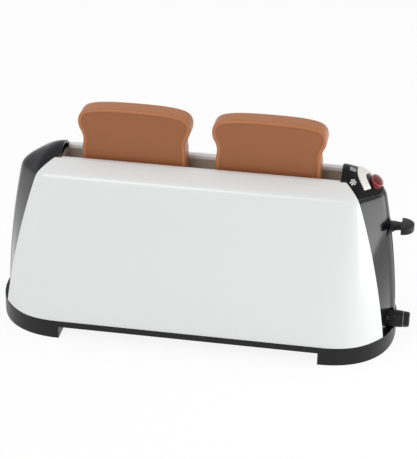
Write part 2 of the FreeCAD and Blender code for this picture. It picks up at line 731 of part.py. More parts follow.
def gear(teeth, thick, place, bore, turn=0.0):
    """A spur wheel with involute teeth, thinned for backlash, across X."""
    pitch = v.tooth_module * teeth / 2
    base = pitch * math.cos(math.radians(20))
    tip, root = pitch + 0.9 * v.tooth_module, pitch - 1.2 * v.tooth_module
    half_tooth = math.pi / (2 * teeth) * TOOTH_SHARE

    def involute(radius):
        if radius <= base:
            return 0.0
        roll = math.sqrt((radius / base) ** 2 - 1)
        return roll - math.atan(roll)

    def at(radius, angle):
        return vec(place.x, place.y + radius * math.cos(angle), place.z + radius * math.sin(angle))

    points = []
    flank = [root, max(base, root + 0.05), pitch, tip]
    for tooth in range(teeth):
        middle = 2 * math.pi * tooth / teeth + math.radians(turn)
        widths = [half_tooth + involute(pitch) - involute(radius) for radius in flank]
        points += [at(radius, middle - width) for radius, width in zip(flank, widths)]
        points += [at(radius, middle + width) for radius, width in zip(reversed(flank), reversed(widths))]
    points.append(points[0])
    blank = Part.Face(Part.makePolygon(points)).extrude(vec(thick, 0, 0))
    if bore:
        blank = blank.cut(Part.makeCylinder(bore, thick + 2, vec(place.x - 1, place.y, place.z),
                                            vec(1, 0, 0)))
    return blank


TOOTH_SHARE = 0.86


def train():
    """Places of the three arbors, in depth and height."""
    first = (-v.knob_depth, v.knob_height)
    reach = v.tooth_module * (v.first_teeth + v.second_teeth) / 2 + v.mesh_gap
    lean = math.radians(v.second_lean)
    second = (first[0] + reach * math.cos(lean), first[1] + reach * math.sin(lean))
    reach = v.tooth_module * (v.second_pinion + v.third_teeth) / 2 + v.mesh_gap
    lean = math.radians(v.third_lean)
    third = (second[0] + reach * math.cos(lean), second[1] + reach * math.sin(lean))
    return first, second, third


def meshed(teeth, mate_teeth, lean, mate_turn=0.0):
    """Turn that sets a gap of a wheel where its mate's tooth comes."""
    pitch = 360.0 / mate_teeth
    offset = ((lean - mate_turn) / pitch) % 1.0
    own = 360.0 / teeth
    return lean + 180 + (offset - 0.5) * own


def plates():
    """Two plates that carry the arbors, with a window in each."""
    first, second, third = train()
    for name, place, holes in (("timer_plate_inner", v.plate_inner, (first, second, third, pallet_place())),
                               ("timer_plate_outer", v.plate_outer, (first, second, third,
                                                                     pallet_place()))):
        plate = Part.makeBox(v.plate_thick, v.plate_front - v.plate_back, v.plate_high - v.plate_low,
                             vec(place, -v.plate_front, v.plate_low))
        bores = []
        for number, (y, z) in enumerate(holes):
            radius = v.shaft_radius if number == 0 and place == v.plate_outer else v.arbor_radius
            bores.append(Part.makeCylinder(radius + v.slide_gap, 4 * v.plate_thick, vec(place - 1, y, z),
                                           vec(1, 0, 0)))
        for y, z in pillar_places():
            bores.append(Part.makeCylinder(PILLAR_NECK + 0.05, 4 * v.plate_thick, vec(place - 1, y, z),
                                           vec(1, 0, 0)))
        piece(name, feature(name + "_solid", plate.cut(bores)))


PILLAR_RADIUS = 2.2
PILLAR_NECK = 1.3
PILLAR_INSET = 3.2


def pillar_places():
    return [(y, z) for y in (-v.plate_front + PILLAR_INSET, -v.plate_back - PILLAR_INSET)
            for z in (v.plate_high - PILLAR_INSET,)] + [(-v.plate_front + PILLAR_INSET,
                                                         v.plate_low + PILLAR_INSET)]


def pillars():
    """Pillars between the plates, and the nuts on their necks."""
    solids, nuts = [], []
    for y, z in pillar_places():
        start, stop = v.plate_inner, v.plate_outer + v.plate_thick
        neck = Part.makeCylinder(PILLAR_NECK, stop - start + 2 * NUT_THICK, vec(start - NUT_THICK, y, z),
                                 vec(1, 0, 0))
        wide = Part.makeCylinder(PILLAR_RADIUS, v.plate_outer - start - v.plate_thick,
                                 vec(start + v.plate_thick, y, z), vec(1, 0, 0))
        solids.append(neck.fuse(wide))
        for place in (start - NUT_THICK, stop):
            nut = hexagon(place, y, z, 2.5, NUT_THICK)
            nuts.append(nut.cut(Part.makeCylinder(PILLAR_NECK + 0.02, 3 * NUT_THICK, vec(place - 1, y, z),
                                                  vec(1, 0, 0))))
    piece("timer_pillars", feature("pillars", Part.makeCompound(solids)))
    piece("timer_nuts", feature("nuts", Part.makeCompound(nuts)))


NUT_THICK = 1.4


def hexagon(x, y, z, radius, thick):
    corners = [vec(x, y + radius * math.cos(math.radians(60 * turn)),
                   z + radius * math.sin(math.radians(60 * turn)))
               for turn in range(7)]
    return Part.Face(Part.makePolygon(corners)).extrude(vec(thick, 0, 0))


def clockwork():
    """Winding arbor with pinion, mainspring, two wheels and the pallet lever."""
    first, second, third = train()
    axis = vec(1, 0, 0)
    layer_one = v.plate_outer - 1.2 - v.wheel_thick - 1.0
    shaft = Part.makeCylinder(v.arbor_radius, v.plate_outer - v.plate_inner + 1, vec(v.plate_inner - 1,
                                                                                     *first), axis)
    shaft = shaft.fuse(Part.makeCylinder(v.shaft_radius, v.knob_seat + SHAFT_REACH - v.plate_outer + 0.6,
                                         vec(v.plate_outer - 0.6, *first), axis))
    pinion = gear(v_int("first_teeth"), v.wheel_thick + 1.2, vec(layer_one - 0.6, *first), 0)
    piece("winding_arbor", feature("winding", shaft.fuse(pinion).removeSplitter()))

    spring_start = v.plate_inner + v.plate_thick + 0.4
    coil = Part.makeCylinder(v.barrel_radius, v.barrel_length, vec(spring_start, *first), axis)
    coil = coil.cut(Part.makeCylinder(v.arbor_radius + 0.4, v.barrel_length + 2, vec(spring_start - 1,
                                                                                     *first), axis))
    piece("mainspring", feature("mainspring_solid", coil))

    turn_two = meshed(v_int("second_teeth"), v_int("first_teeth"), v.second_lean)
    wheel = gear(v_int("second_teeth"), v.wheel_thick, vec(layer_one, *second), 0, turn_two)
    layer_two = layer_one - v.wheel_thick - 2.4
    pinion = gear(v_int("second_pinion"), v.wheel_thick + 1.2, vec(layer_two - 0.6, *second), 0)
    arbor = Part.makeCylinder(v.arbor_radius, v.plate_outer - v.plate_inner + 2.0,
                              vec(v.plate_inner - 0.4, *second), axis)
    piece("second_wheel", feature("second", arbor.fuse([wheel, pinion]).removeSplitter()))

    turn_three = meshed(v_int("third_teeth"), v_int("second_pinion"), v.third_lean)
    wheel = gear(v_int("third_teeth"), v.wheel_thick, vec(layer_two, *third), 0, turn_three)
    arbor = Part.makeCylinder(v.arbor_radius, v.plate_outer - v.plate_inner + 2.0,
                              vec(v.plate_inner - 0.4, *third), axis)
    piece("third_wheel", feature("third", arbor.fuse(wheel).removeSplitter()))

    y, z = pallet_place()
    pin = Part.makeCylinder(v.arbor_radius, v.plate_outer - v.plate_inner + 2.0, vec(v.plate_inner - 0.4,
                                                                                     y, z), axis)
    bar = Part.makeBox(v.wheel_thick, 7.2, 2.2, vec(layer_one, y - 3.6, z - 1.1))
    weight = Part.makeCylinder(1.8, v.wheel_thick, vec(layer_one, y - 3.6, z), axis)
    piece("pallet_lever", feature("pallet", pin.fuse([bar, weight]).removeSplitter()))


SHAFT_REACH = 8.0


def v_int(name):
    return int(round(cell(name)))


def pallet_place():
    first, second, third = train()
    return (third[0] + 4.0, third[1] + 13.2)


def timer_knob():
    """Ribbed collar and a grip with two flats, hollow for the shaft."""
    start = v.knob_seat
    y, z = -v.knob_depth, v.knob_height
    axis = vec(1, 0, 0)
    collar = Part.makeCylinder(v.collar_radius - RIB, v.collar_length, vec(start, y, z), axis)
    ribs = []
    for number in range(v_int("collar_ribs")):
        angle = 2 * math.pi * number / v_int("collar_ribs")
        reach = v.collar_radius - RIB
        ribs.append(Part.makeCylinder(RIB, v.collar_length, vec(start, y + reach * math.cos(angle),
                                                                z + reach * math.sin(angle)), axis))
    grip_start = start + v.collar_length
    grip = Part.makeCone(v.grip_radius, v.grip_radius - 0.9, v.grip_length, vec(grip_start, y, z), axis)
    flats = []
    for side in (-1, 1):
        low = y + v.grip_flat if side > 0 else y - v.grip_flat - 5
        flats.append(Part.makeBox(v.grip_length * 0.55, 5, 30, vec(grip_start + 0.6, low, z - 15)))
    knob = collar.multiFuse(ribs).fuse(grip.cut(flats))
    bore = Part.makeCylinder(v.shaft_radius + 0.02, SHAFT_REACH + 0.2, vec(start - 0.1, y, z), axis)
    piece("timer_knob", feature("knob", knob.cut(bore).removeSplitter()))


RIB = 0.7


# Bell, striker and latch

def bell_parts():
    x, y, z = v.bell_place, v.bell_depth, v.bell_height
    outer = Part.makeSphere(v.bell_radius, vec(x, y, z))
    inner = Part.makeSphere(v.bell_radius - v.bell_wall, vec(x, y, z))
    below = Part.makeBox(4 * v.bell_radius, 4 * v.bell_radius, 2 * v.bell_radius,
                         vec(x - 2 * v.bell_radius, y - 2 * v.bell_radius, z - 2 * v.bell_radius))
    hole = Part.makeCylinder(1.5, 3 * v.bell_radius, vec(x, y, z))
    piece("bell", feature("bell_solid", outer.cut([inner, below, hole])))
    floor = v.base_under + v.base_floor
    crown = z + v.bell_radius - v.bell_wall
    post = Part.makeCylinder(v.post_radius, crown - 0.6 - floor, vec(x, y, floor))
    neck = Part.makeCylinder(1.4, v.bell_wall + 2.6, vec(x, y, crown - 0.6))
    nut = Part.makeCylinder(2.6, 1.4, vec(x, y, z + v.bell_radius + 0.05))
    piece("bell_post", feature("post", post.fuse([neck, nut]).removeSplitter()))
    pivot_x, pivot_y = v.striker_place, v.striker_depth
    level = z + 2.5
    pin = Part.makeCylinder(1.5, level + 4 - floor, vec(pivot_x, pivot_y, floor))
    collar = Part.makeCylinder(2.4, level - 2.0 - floor, vec(pivot_x, pivot_y, floor))
    piece("striker_pin", feature("striker_pin_solid", pin.fuse(collar).removeSplitter()))
    rim = math.sqrt(v.bell_radius ** 2 - 2.5 ** 2)
    ball_x = x - rim - v.striker_gap - v.striker_ball
    hub = Part.makeCylinder(2.6, 3.6, vec(pivot_x, pivot_y, level - 1.8))
    arm = Part.makeBox(1.4, y - pivot_y, 2.0, vec(ball_x - 0.7, pivot_y, level - 1.0))
    ball = Part.makeSphere(v.striker_ball, vec(ball_x, y, level))
    tail = Part.makeBox(6.0, 1.8, 2.0, vec(pivot_x - 8.0, pivot_y - 0.9, level - 1.0))
    striker = hub.fuse([arm, ball, tail]).cut(Part.makeCylinder(1.5 + v.slide_gap, 8.0, vec(pivot_x,
                                                                                            pivot_y,
                                                                                            level - 4)))
    piece("striker", feature("striker_solid", striker.removeSplitter()))


LATCH_PIN = 1.5


def latch_parts():
    """The hook that holds the carriage down, on a pin that stands on the floor."""
    x, y = v.latch_place, v.latch_depth - 1.0
    floor = v.base_under + v.base_floor
    catch_top = v.bar_top - v.arm_height + v.block_height - v.lift_travel
    level = catch_top + 0.4
    pin = Part.makeCylinder(LATCH_PIN, level + 6 - floor, vec(x, y, floor))
    collar = Part.makeCylinder(LATCH_PIN + 1.4, level - 0.2 - floor, vec(x, y, floor))
    piece("latch_pin", feature("latch_pin_solid", pin.fuse(collar).removeSplitter()))
    hub = Part.makeCylinder(3.2, 3.0, vec(x, y, level))
    reach = y - (v.block_width / 2 + 3.2) - HOOK_GAP
    hook = Part.makeBox(3.4, reach, 3.0, vec(x - 1.7, y - reach, level))
    hook = hook.rotated(vec(x, y, level), vec(0, 0, 1), -HOOK_OPEN)
    body = hub.fuse(hook).cut(Part.makeCylinder(LATCH_PIN + v.slide_gap, 6.0, vec(x, y, level - 1)))
    piece("latch_hook", feature("latch_solid", body.removeSplitter()))


HOOK_GAP = -2.6
HOOK_OPEN = -50.0


# Panel, button and rocker on the right dome

PANEL_MARGIN = 1.0
PANEL_DEEP = 1.2
BUTTON_RISE = 3.2
BUTTON_SINK = 5.8
BUTTON_SEAT = 10.2
BUTTON_FIT = 0.25
STEM_RADIUS = 1.4
STEM_BELOW = 1.0
ROCKER_RISE = 1.2
ROCKER_GAP = 0.5
ROCKER_PIN = 1.0
ROCKER_BACK = 10.8
ROCKER_PIN_DEEP = 6.0


def button_frame():
    """Middle of the button on the dome, down the slope, and out of it."""
    x = v.button_place
    slope = math.atan2(dome_crown(x + 1) - dome_crown(x - 1), 2.0)
    return vec(x, 0, dome_crown(x)), vec(math.cos(slope), 0, math.sin(slope)), vec(-math.sin(slope), 0,
                                                                                   math.cos(slope))


def oval(grow, low, high, shrink=0.0):
    """An oval block along the button's axis, from one level to another."""
    point, along, out = button_frame()

    def ring(level, less):
        middle = point + out * level
        half, reach = v.button_half + grow - less, v.button_reach + grow - less
        ellipse = Part.Ellipse(middle + vec(0, half, 0), middle + along * reach, middle)
        return Part.Wire([ellipse.toShape()])

    if shrink:
        return loft([ring(low, 0), ring(low + (high - low) * 0.6, shrink * 0.35), ring(high, shrink)])
    return Part.Face(ring(low, 0)).extrude(out * (high - low))


def button_rod(radius, low, high):
    point, along, out = button_frame()
    return Part.makeCylinder(radius, high - low, point + out * low, out)


def sloped_box(reach, half, levels):
    """A box across the button's axis: down the slope, across the body, and along the axis."""
    point, along, out = button_frame()
    box = Part.makeBox(reach[1] - reach[0], half[1] - half[0], levels[1] - levels[0],
                       point + vec(reach[0], half[0], levels[0]))
    turn = -math.degrees(math.atan2(along.z, along.x))
    return box.rotated(point, vec(0, 1, 0), turn)


def panel_prism(grow=0.0):
    """The panel's outline from above."""
    sections = dome_sections()
    margin = PANEL_MARGIN - grow
    start = sections[0][0] + PANEL_DEEP + 0.3 - grow
    points = [(start, sections[0][1] - margin), (sections[1][0] + 0.6, sections[1][1] - margin),
              (sections[3][0], sections[3][1] - margin * 1.6), (sections[5][0] - margin,
                                                                sections[5][1] - margin),
              (sections[6][0] - margin - 1.0, sections[6][1] - margin)]
    outline = [vec(x, y, 0) for x, y in points] + [vec(x, -y, 0) for x, y in reversed(points)]
    outline.append(outline[0])
    return Part.Face(Part.makePolygon(outline)).extrude(vec(0, 0, 2 * v.dome_height))


ROCKER_OUTER = 12.5
ROCKER_INNER = 6.5
ROCKER_TIP = (6.2, 14.6)
ROCKER_HORN = (2.3, 9.6)
ROCKER_PRISM_DEEP = 20.0


def rocker_prism(grow=0.0):
    """The curved switch from above, a band bent round the button."""
    x = v.button_place

    def at(back, side):
        return vec(x - back, side, v.cap_high - ROCKER_PRISM_DEEP)

    outer, inner = ROCKER_OUTER + grow, ROCKER_INNER - grow
    tip = (ROCKER_TIP[0] + grow * 0.2, ROCKER_TIP[1] + grow * 1.4)
    horn = (ROCKER_HORN[0] - grow * 1.4, ROCKER_HORN[1] + grow * 0.2)
    edges = [arc(at(tip[0], -tip[1]), at(outer, 0), at(*tip)), Part.makeLine(at(*tip), at(*horn)),
             arc(at(*horn), at(inner, 0), at(horn[0], -horn[1])), Part.makeLine(at(horn[0], -horn[1]),
                                                                                at(tip[0], -tip[1]))]
    return Part.Face(Part.Wire(edges)).extrude(vec(0, 0, 60))


def biggest(shape):
    return sorted(shape.Solids, key=lambda solid: solid.Volume)[-1]


def above_edge():
    """Room over the dome's lower edge."""
    return Part.makeBox(60, 60, 60, vec(v.dome_inner - 5, -30, v.cap_high - 1.0))


def panel_parts(cap):
    """Panel insert, stop button with its spring, rocker with its pin; returns the cap, cut for them."""
    skin = dome(1, v.panel_rise).cut(dome(1, -PANEL_DEEP)).common(panel_prism()).common(above_edge())
    panel = skin.cut([oval(BUTTON_FIT, -12, 12), rocker_prism(ROCKER_GAP)])
    piece("control_panel", feature("panel_solid", biggest(panel)))

    body = oval(0, -BUTTON_SINK, 0.8).fuse(oval(0, 0.8, BUTTON_RISE, v.button_reach * 0.55))
    lugs = [sloped_box((-2.0, 2.0), sorted((side * (v.button_half - 1), side * (v.button_half + 1.2))),
                       (-BUTTON_SINK, -BUTTON_SINK + 1.0)) for side in (-1, 1)]
    stem = button_rod(STEM_RADIUS, -BUTTON_SEAT - STEM_BELOW, -1.0)
    piece("stop_button", feature("button_solid", body.fuse(lugs + [stem]).removeSplitter()))
    spring = button_rod(2.8, -BUTTON_SEAT, -BUTTON_SINK).cut(button_rod(2.2, -BUTTON_SEAT - 1, 0))
    piece("button_spring", feature("button_spring_solid", spring))

    pin_x = v.button_place - ROCKER_BACK
    pin_z = dome_crown(pin_x) - ROCKER_PIN_DEEP
    rocker = dome(1, v.panel_rise + ROCKER_RISE).cut(dome(1, -1.6)).common(rocker_prism())
    web = Part.makeBox(3.0, 3.0, ROCKER_PIN_DEEP + 2.0, vec(pin_x - 1.5, -1.5,
                                                            pin_z - 2.0)).common(dome(1, 0))
    rocker = biggest(rocker.common(above_edge())).fuse(web)
    bore = Part.makeCylinder(ROCKER_PIN + v.slide_gap, 20, vec(pin_x - 10, 0, pin_z), vec(1, 0, 0))
    piece("rocker_switch", feature("rocker_solid", rocker.cut(bore).removeSplitter()))
    ear_low, ear_high = pin_x - 4.6, pin_x + 1.7
    pin = Part.makeCylinder(ROCKER_PIN, ear_high + 1.4 - ear_low, vec(ear_low, 0, pin_z), vec(1, 0, 0))
    piece("rocker_pin", feature("rocker_pin_solid", pin))

    seat = sloped_box((-3.4, 3.4), (-v.button_half - 2.8, v.button_half + 2.8), (-BUTTON_SEAT - 1.2,
                                                                                 -BUTTON_SEAT))
    walls = [sloped_box((0.4, 3.4), sorted((side * (v.button_half + 1.5), side * (v.button_half + 2.8))),
                        (-BUTTON_SEAT - 1.2, 0)) for side in (-1, 1)]
    bracket = Part.makeBox(ear_high + 1.4 - ear_low, 5.0, 1.2, vec(ear_low, -2.5, pin_z - 3.6))
    near = Part.makeBox(1.4, 5.0, ROCKER_PIN_DEEP + 3.6, vec(ear_low, -2.5, pin_z - 3.6))
    far = Part.makeBox(1.4, 5.0, 5.4, vec(ear_high, -2.5, pin_z - 3.6))
    skin_room = dome(1, 1).cut(dome(1, -PANEL_DEEP - v.seat_gap)).common(panel_prism(0.15)).common(above_edge())
    inside = dome(1, 0, 0.5)
    lug_room = [sloped_box((-2.4, 2.4), (-v.button_half - 1.6, v.button_half + 1.6),
                           (-BUTTON_SINK - v.button_travel - 0.3, -BUTTON_SINK + 1.2))]
    cap = cap.fuse([shape.common(inside) for shape in [seat] + walls])
    cap = cap.cut([oval(BUTTON_FIT + 0.3, -BUTTON_SINK - v.button_travel - 0.3, 12),
                   rocker_prism(ROCKER_GAP)] + lug_room)
    cap = biggest(cap.fuse([shape.common(inside) for shape in [near, far, bracket]]).cut(skin_room))
    hole = Part.makeCylinder(ROCKER_PIN + 0.02, 20, vec(pin_x - 10, 0, pin_z), vec(1, 0, 0))
    hole = hole.common(Part.makeBox(ear_high + 1.4 - ear_low + 0.2, 5, 5, vec(ear_low - 0.1, -2.5,
                                                                              pin_z - 2.5)))
    return cap.cut([hole, button_rod(STEM_RADIUS + 0.2, -BUTTON_SEAT - 3, -BUTTON_SEAT + 1),
                    rocker_prism(ROCKER_GAP).common(
        above_edge().translated(vec(0, 0, pin_z + 2.0 - v.cap_high + 1.0)))]).removeSplitter()


def dome_crown(x):
    sections = dome_sections()
    for low, high in zip(sections, sections[1:]):
        if low[0] <= x <= high[0]:
            return between(low[3], high[3], (x - low[0]) / (high[0] - low[0]))
    return sections[0][3]


def right_cap():
    cap = end_cap(1)
    slot = Part.makeBox(v.body_length, v.lever_slot_width, v.lever_slot_high - v.lever_slot_low,
                        vec(v.block_reach, -v.lever_slot_width / 2, v.lever_slot_low))
    shaft = Part.makeCylinder(v.shaft_radius + 0.3, v.body_length, vec(v.plate_outer, -v.knob_depth,
                                                                       v.knob_height), vec(1, 0, 0))
    cap = cap.cut([slot, shaft, knob_recess()])
    return cap


def screws():
    """Self-tapping screws up through the floor into the caps' posts."""
    solids = []
    for x, y in floor_holes():
        head = Part.makeCylinder(SCREW_HEAD, SCREW_HEAD_THICK, vec(x, y, v.base_under - SCREW_HEAD_THICK))
        shank = Part.makeCylinder(SCREW_RADIUS - 0.05, SCREW_REACH, vec(x, y, v.base_under - 0.1))
        solids.append(head.fuse(shank))
    piece("base_screws", feature("base_screws_solid", Part.makeCompound(solids)))


piece("base_tray", feature("base_tray_solid", base_tray()))
shell = front_shell()
piece("front_shell", feature("front_shell_solid", shell))
piece("rear_shell", feature("rear_shell_solid", mirror_front(shell)))
piece("left_end_cap", feature("left_end_cap_solid", end_cap(-1)))
piece("right_end_cap", feature("right_end_cap_solid", panel_parts(right_cap())))
toast_well()
carriage()
guides()
piece("lever_arm", lever_arm())
piece("lever_head", lever_head())
piece("toast_slice_left", toast_slice(-1))
piece("toast_slice_right", toast_slice(1))
plates()
pillars()
clockwork()
timer_knob()
bell_parts()
latch_parts()
screws()

doc.recompute()
broken = [thing.Name for thing in doc.Objects if set(thing.State) & {"Invalid", "Error"}]
for thing in pieces:
    shape = thing.Shape
    if shape.isNull() or not shape.isValid() or shape.Volume <= 0:
        broken.append(thing.Label)
if broken:
    raise ValueError("failed: " + ", ".join(broken))
for thing in pieces:
    thing.Shape.exportStep(f"parts/{thing.Label}.step")
    box = thing.Shape.BoundBox
    print(f"{thing.Label}: {len(thing.Shape.Solids)} solids, {thing.Shape.Volume:.0f} mm3, "
          f"x {box.XMin:.1f} {box.XMax:.1f}, y {box.YMin:.1f} {box.YMax:.1f}, z {box.ZMin:.1f} {box.ZMax:.1f}")
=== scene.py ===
import math
import bmesh
import bpy
import numpy as np
from mathutils import Matrix, Vector


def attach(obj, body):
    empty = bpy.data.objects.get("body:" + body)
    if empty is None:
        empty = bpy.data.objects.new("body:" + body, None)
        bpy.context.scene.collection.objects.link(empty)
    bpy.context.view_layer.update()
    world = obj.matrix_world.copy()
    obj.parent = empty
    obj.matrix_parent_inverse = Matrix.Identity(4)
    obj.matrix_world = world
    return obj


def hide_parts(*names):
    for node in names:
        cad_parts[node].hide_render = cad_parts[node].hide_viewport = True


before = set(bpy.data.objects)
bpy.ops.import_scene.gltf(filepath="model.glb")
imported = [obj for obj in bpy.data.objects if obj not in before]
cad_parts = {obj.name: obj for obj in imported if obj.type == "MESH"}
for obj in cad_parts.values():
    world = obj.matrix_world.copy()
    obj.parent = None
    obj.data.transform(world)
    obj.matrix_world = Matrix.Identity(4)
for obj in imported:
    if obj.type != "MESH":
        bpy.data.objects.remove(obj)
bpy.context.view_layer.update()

MM = 0.001
SHIFT = -4.5          # from the middle of the base to the frame's middle, in mm
SHARP = math.radians(38)
MERGE = 0.00001


# Helpers

def linear(code):
    """An sRGB hex colour as the linear RGBA that a shader takes."""
    values = [int(code[i:i + 2], 16) / 255 for i in (0, 2, 4)]
    values = [v / 12.92 if v <= 0.04045 else ((v + 0.055) / 1.055) ** 2.4 for v in values]
    return (*values, 1.0)


def add(tree, kind, inputs=(), **settings):
    """Adds a node. An input is a value, or the output socket that feeds it."""
    node = tree.nodes.new(kind)
    for name, value in settings.items():
        setattr(node, name, value)
    for name, value in dict(inputs).items():
        if isinstance(value, bpy.types.NodeSocket):
            tree.links.new(value, node.inputs[name])
        else:
            node.inputs[name].default_value = value
    return node


def between(low, high, share, swell=0.0):
    """A value on the way from low to high, raised by swell at half way."""
    return low + (high - low) * share + 4 * swell * share * (1 - share)


def point(x, y, z):
    """A place measured from the middle of the base, in mm, as frame metres."""
    return Vector(((x + SHIFT) * MM, y * MM, z * MM))


def piece(name, points, faces, material, body, replaces=(), smooth=True, outward=True):
    """A finished mesh piece from points in mm from the middle of the base."""
    mesh = bpy.data.meshes.new(name)
    mesh.from_pydata([point(*p) for p in points], [], faces)
    work = bmesh.new()
    work.from_mesh(mesh)
    bmesh.ops.remove_doubles(work, verts=work.verts, dist=MERGE)
    if outward:
        bmesh.ops.recalc_face_normals(work, faces=work.faces)
    work.to_mesh(mesh)
    work.free()
    return finish(name, mesh, material, body, replaces, smooth)


def finish(name, mesh, material, body, replaces=(), smooth=True):
    """Puts a mesh in the scene as a piece that rides on a body and may take the place of CAD nodes."""
    made = bpy.data.objects.new(name, mesh)
    bpy.context.scene.collection.objects.link(made)
    if material and not len(mesh.materials):
        mesh.materials.append(material)
    if smooth:
        mesh.polygons.foreach_set("use_smooth", [True] * len(mesh.polygons))
        mesh.set_sharp_from_angle(angle=SHARP)
    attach(made, body)
    if replaces:
        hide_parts(*replaces)
    return made


BOX_FACES = [(0, 2, 3, 1), (4, 5, 7, 6), (0, 1, 5, 4), (2, 6, 7, 3), (0, 4, 6, 2), (1, 3, 7, 5)]


def grid_faces(rows, columns, wrap=False, first=0):
    """Quads over rows of points; wrap joins each row's end to its start."""
    faces = []
    for row in range(rows - 1):
        for column in range(columns if wrap else columns - 1):
            after = (column + 1) % columns
            a, b = first + row * columns + column, first + row * columns + after
            faces.append((a, b, b + columns, a + columns))
    return faces


def end_faces(rows, count):
    """The two faces that close a tube of rings."""
    return [tuple(range(count)), tuple(range((rows - 1) * count, rows * count))]


def box_points(low, high):
    return [tuple(low[a] if not n >> a & 1 else high[a] for a in range(3)) for n in range(8)]


def bezier(a, b, c, d, count):
    """Points along a cubic curve."""
    t = np.linspace(0, 1, count)[:, None]
    a, b, c, d = (np.array(p, float) for p in (a, b, c, d))
    return a * (1 - t) ** 3 + 3 * b * t * (1 - t) ** 2 + 3 * c * t ** 2 * (1 - t) + d * t ** 3


# Materials

def moulded_plastic(name, colour, roughness, grain, depth, drift=0.03, coat=0.0, second=None, ior=1.5):
    """An injection-moulded plastic: a slow drift of tone, and the fine relief of its mould.

    grain is the relief's size in mm, depth its height in mm; drift is how far the tone wanders.
    """
    material = bpy.data.materials.new(name)
    material.use_nodes = True
    tree = material.node_tree
    shader = tree.nodes["Principled BSDF"]
    place = add(tree, "ShaderNodeTexCoord").outputs["Object"]
    slow = add(tree, "ShaderNodeTexNoise", {"Vector": place, "Scale": 1 / (45 * MM), "Detail": 3.0})
    light = linear(colour)
    dark = linear(second) if second else tuple(c * (1 - 2 * drift) for c in light[:3]) + (1.0,)
    tone = add(tree, "ShaderNodeMix", {0: slow.outputs["Fac"], 6: light, 7: dark}, data_type="RGBA")
    tree.links.new(tone.outputs[2], shader.inputs["Base Color"])
    fine = add(tree, "ShaderNodeTexNoise", {"Vector": place, "Scale": 1 / (grain * MM), "Detail": 2.0})
    polish = add(tree, "ShaderNodeMapRange", {"Value": slow.outputs["Fac"], "To Min": roughness * 0.85,
                                               "To Max": roughness * 1.2})
    tree.links.new(polish.outputs[0], shader.inputs["Roughness"])
    relief = add(tree, "ShaderNodeBump", {"Height": fine.outputs["Fac"], "Strength": 1.0,
                                          "Distance": depth * MM})
    tree.links.new(relief.outputs[0], shader.inputs["Normal"])
    shader.inputs["IOR"].default_value = ior
    shader.inputs["Coat Weight"].default_value = coat
    return material


def turned_metal(name, colour, roughness, grain, stretch=(1, 1, 1)):
    """A bare metal with the fine lines of how it was drawn, rolled or turned."""
    material = bpy.data.materials.new(name)
    material.use_nodes = True
    tree = material.node_tree
    shader = tree.nodes["Principled BSDF"]
    shader.inputs["Metallic"].default_value = 1.0
    place = add(tree, "ShaderNodeTexCoord").outputs["Object"]
    drawn = add(tree, "ShaderNodeMapping", {"Vector": place, "Scale": stretch}).outputs[0]
    lines = add(tree, "ShaderNodeTexNoise", {"Vector": drawn, "Scale": 1 / (grain * MM), "Detail": 4.0})
    bright = linear(colour)
    tone = add(tree, "ShaderNodeMix", {0: lines.outputs["Fac"], 6: bright,
                                       7: tuple(c * 0.82 for c in bright[:3]) + (1.0,)}, data_type="RGBA")
    tree.links.new(tone.outputs[2], shader.inputs["Base Color"])
    polish = add(tree, "ShaderNodeMapRange", {"Value": lines.outputs["Fac"], "To Min": roughness * 0.7,
                                               "To Max": roughness * 1.4})
    tree.links.new(polish.outputs[0], shader.inputs["Roughness"])
    relief = add(tree, "ShaderNodeBump", {"Height": lines.outputs["Fac"], "Strength": 0.5,
                                          "Distance": 0.02 * MM})
    tree.links.new(relief.outputs[0], shader.inputs["Normal"])
    return material


# Glossy white ABS: even and bright, with the faintest orange peel in its highlights.
white_abs = moulded_plastic("gloss_white_abs_moulded", "EFF0F0", 0.2, 3.0, 0.004, 0.004)
# Polished black ABS of the end caps: nearly black, mirror-like, a touch blue.
black_gloss = moulded_plastic("gloss_black_abs_polished", "101116", 0.13, 4.0, 0.004, 0.05, ior=1.46)
# Black ABS of the base and lever from a spark-eroded mould: satin, with a fine even grain.
black_satin = moulded_plastic("satin_black_abs_spark_eroded", "0D0D10", 0.36, 0.5, 0.02, 0.06, ior=1.4)
# The panel is the shiniest black part.
panel_black = moulded_plastic("piano_black_abs_panel", "030306", 0.08, 5.0, 0.003, 0.05, ior=1.36)
# Ruby acrylic of the stop button: deep red with a bright wet shine.
ruby = moulded_plastic("ruby_acrylic_cast", "8A030C", 0.12, 6.0, 0.002, 0.1, coat=0.2, second="5E0008",
                       ior=1.4)
# Opaque white switch, a warmer white than the shells.
switch_white = moulded_plastic("gloss_white_abs_switch", "F3EFE9", 0.18, 4.0, 0.003, 0.01)
# Toast: soft brown PVC, a fine crumb on the face, smoother along the crust. The crust is coloured lighter
# than the recessed face.
toast_face = moulded_plastic("toast_brown_pvc_crumb_face", "A5673F", 0.5, 0.9, 0.035, 0.07, second="9A5D38")
toast_crust = moulded_plastic("toast_brown_pvc_crust", "BE7A4C", 0.38, 1.6, 0.012, 0.05, second="B26F43")
# Lining of the slot: matt polypropylene. Its taupe colour is partly the lining's own tone and partly painted
# shade of the deep slot.
slot_lining_painted_shade = moulded_plastic("taupe_lining_painted_slot_shade", "BFB1A2", 0.55, 0.8, 0.015, 0.05)
# Inner parts in uncoloured plastic: milky acetal.
acetal = moulded_plastic("natural_acetal_moulded", "D9D6CC", 0.35, 1.5, 0.008, 0.03)
# Steel wire, drawn: fine lines along it.
steel = turned_metal("steel_wire_drawn", "B4B4B2", 0.25, 0.3, (1, 1, 0.05))
steel_sheet = turned_metal("steel_sheet_zinc_plated", "B9BCC0", 0.3, 0.5)
brass = turned_metal("brass_turned", "C9A35A", 0.25, 0.3, (0.05, 1, 1))
bell_metal = turned_metal("bell_steel_nickelled", "C8C6C0", 0.12, 2.0)

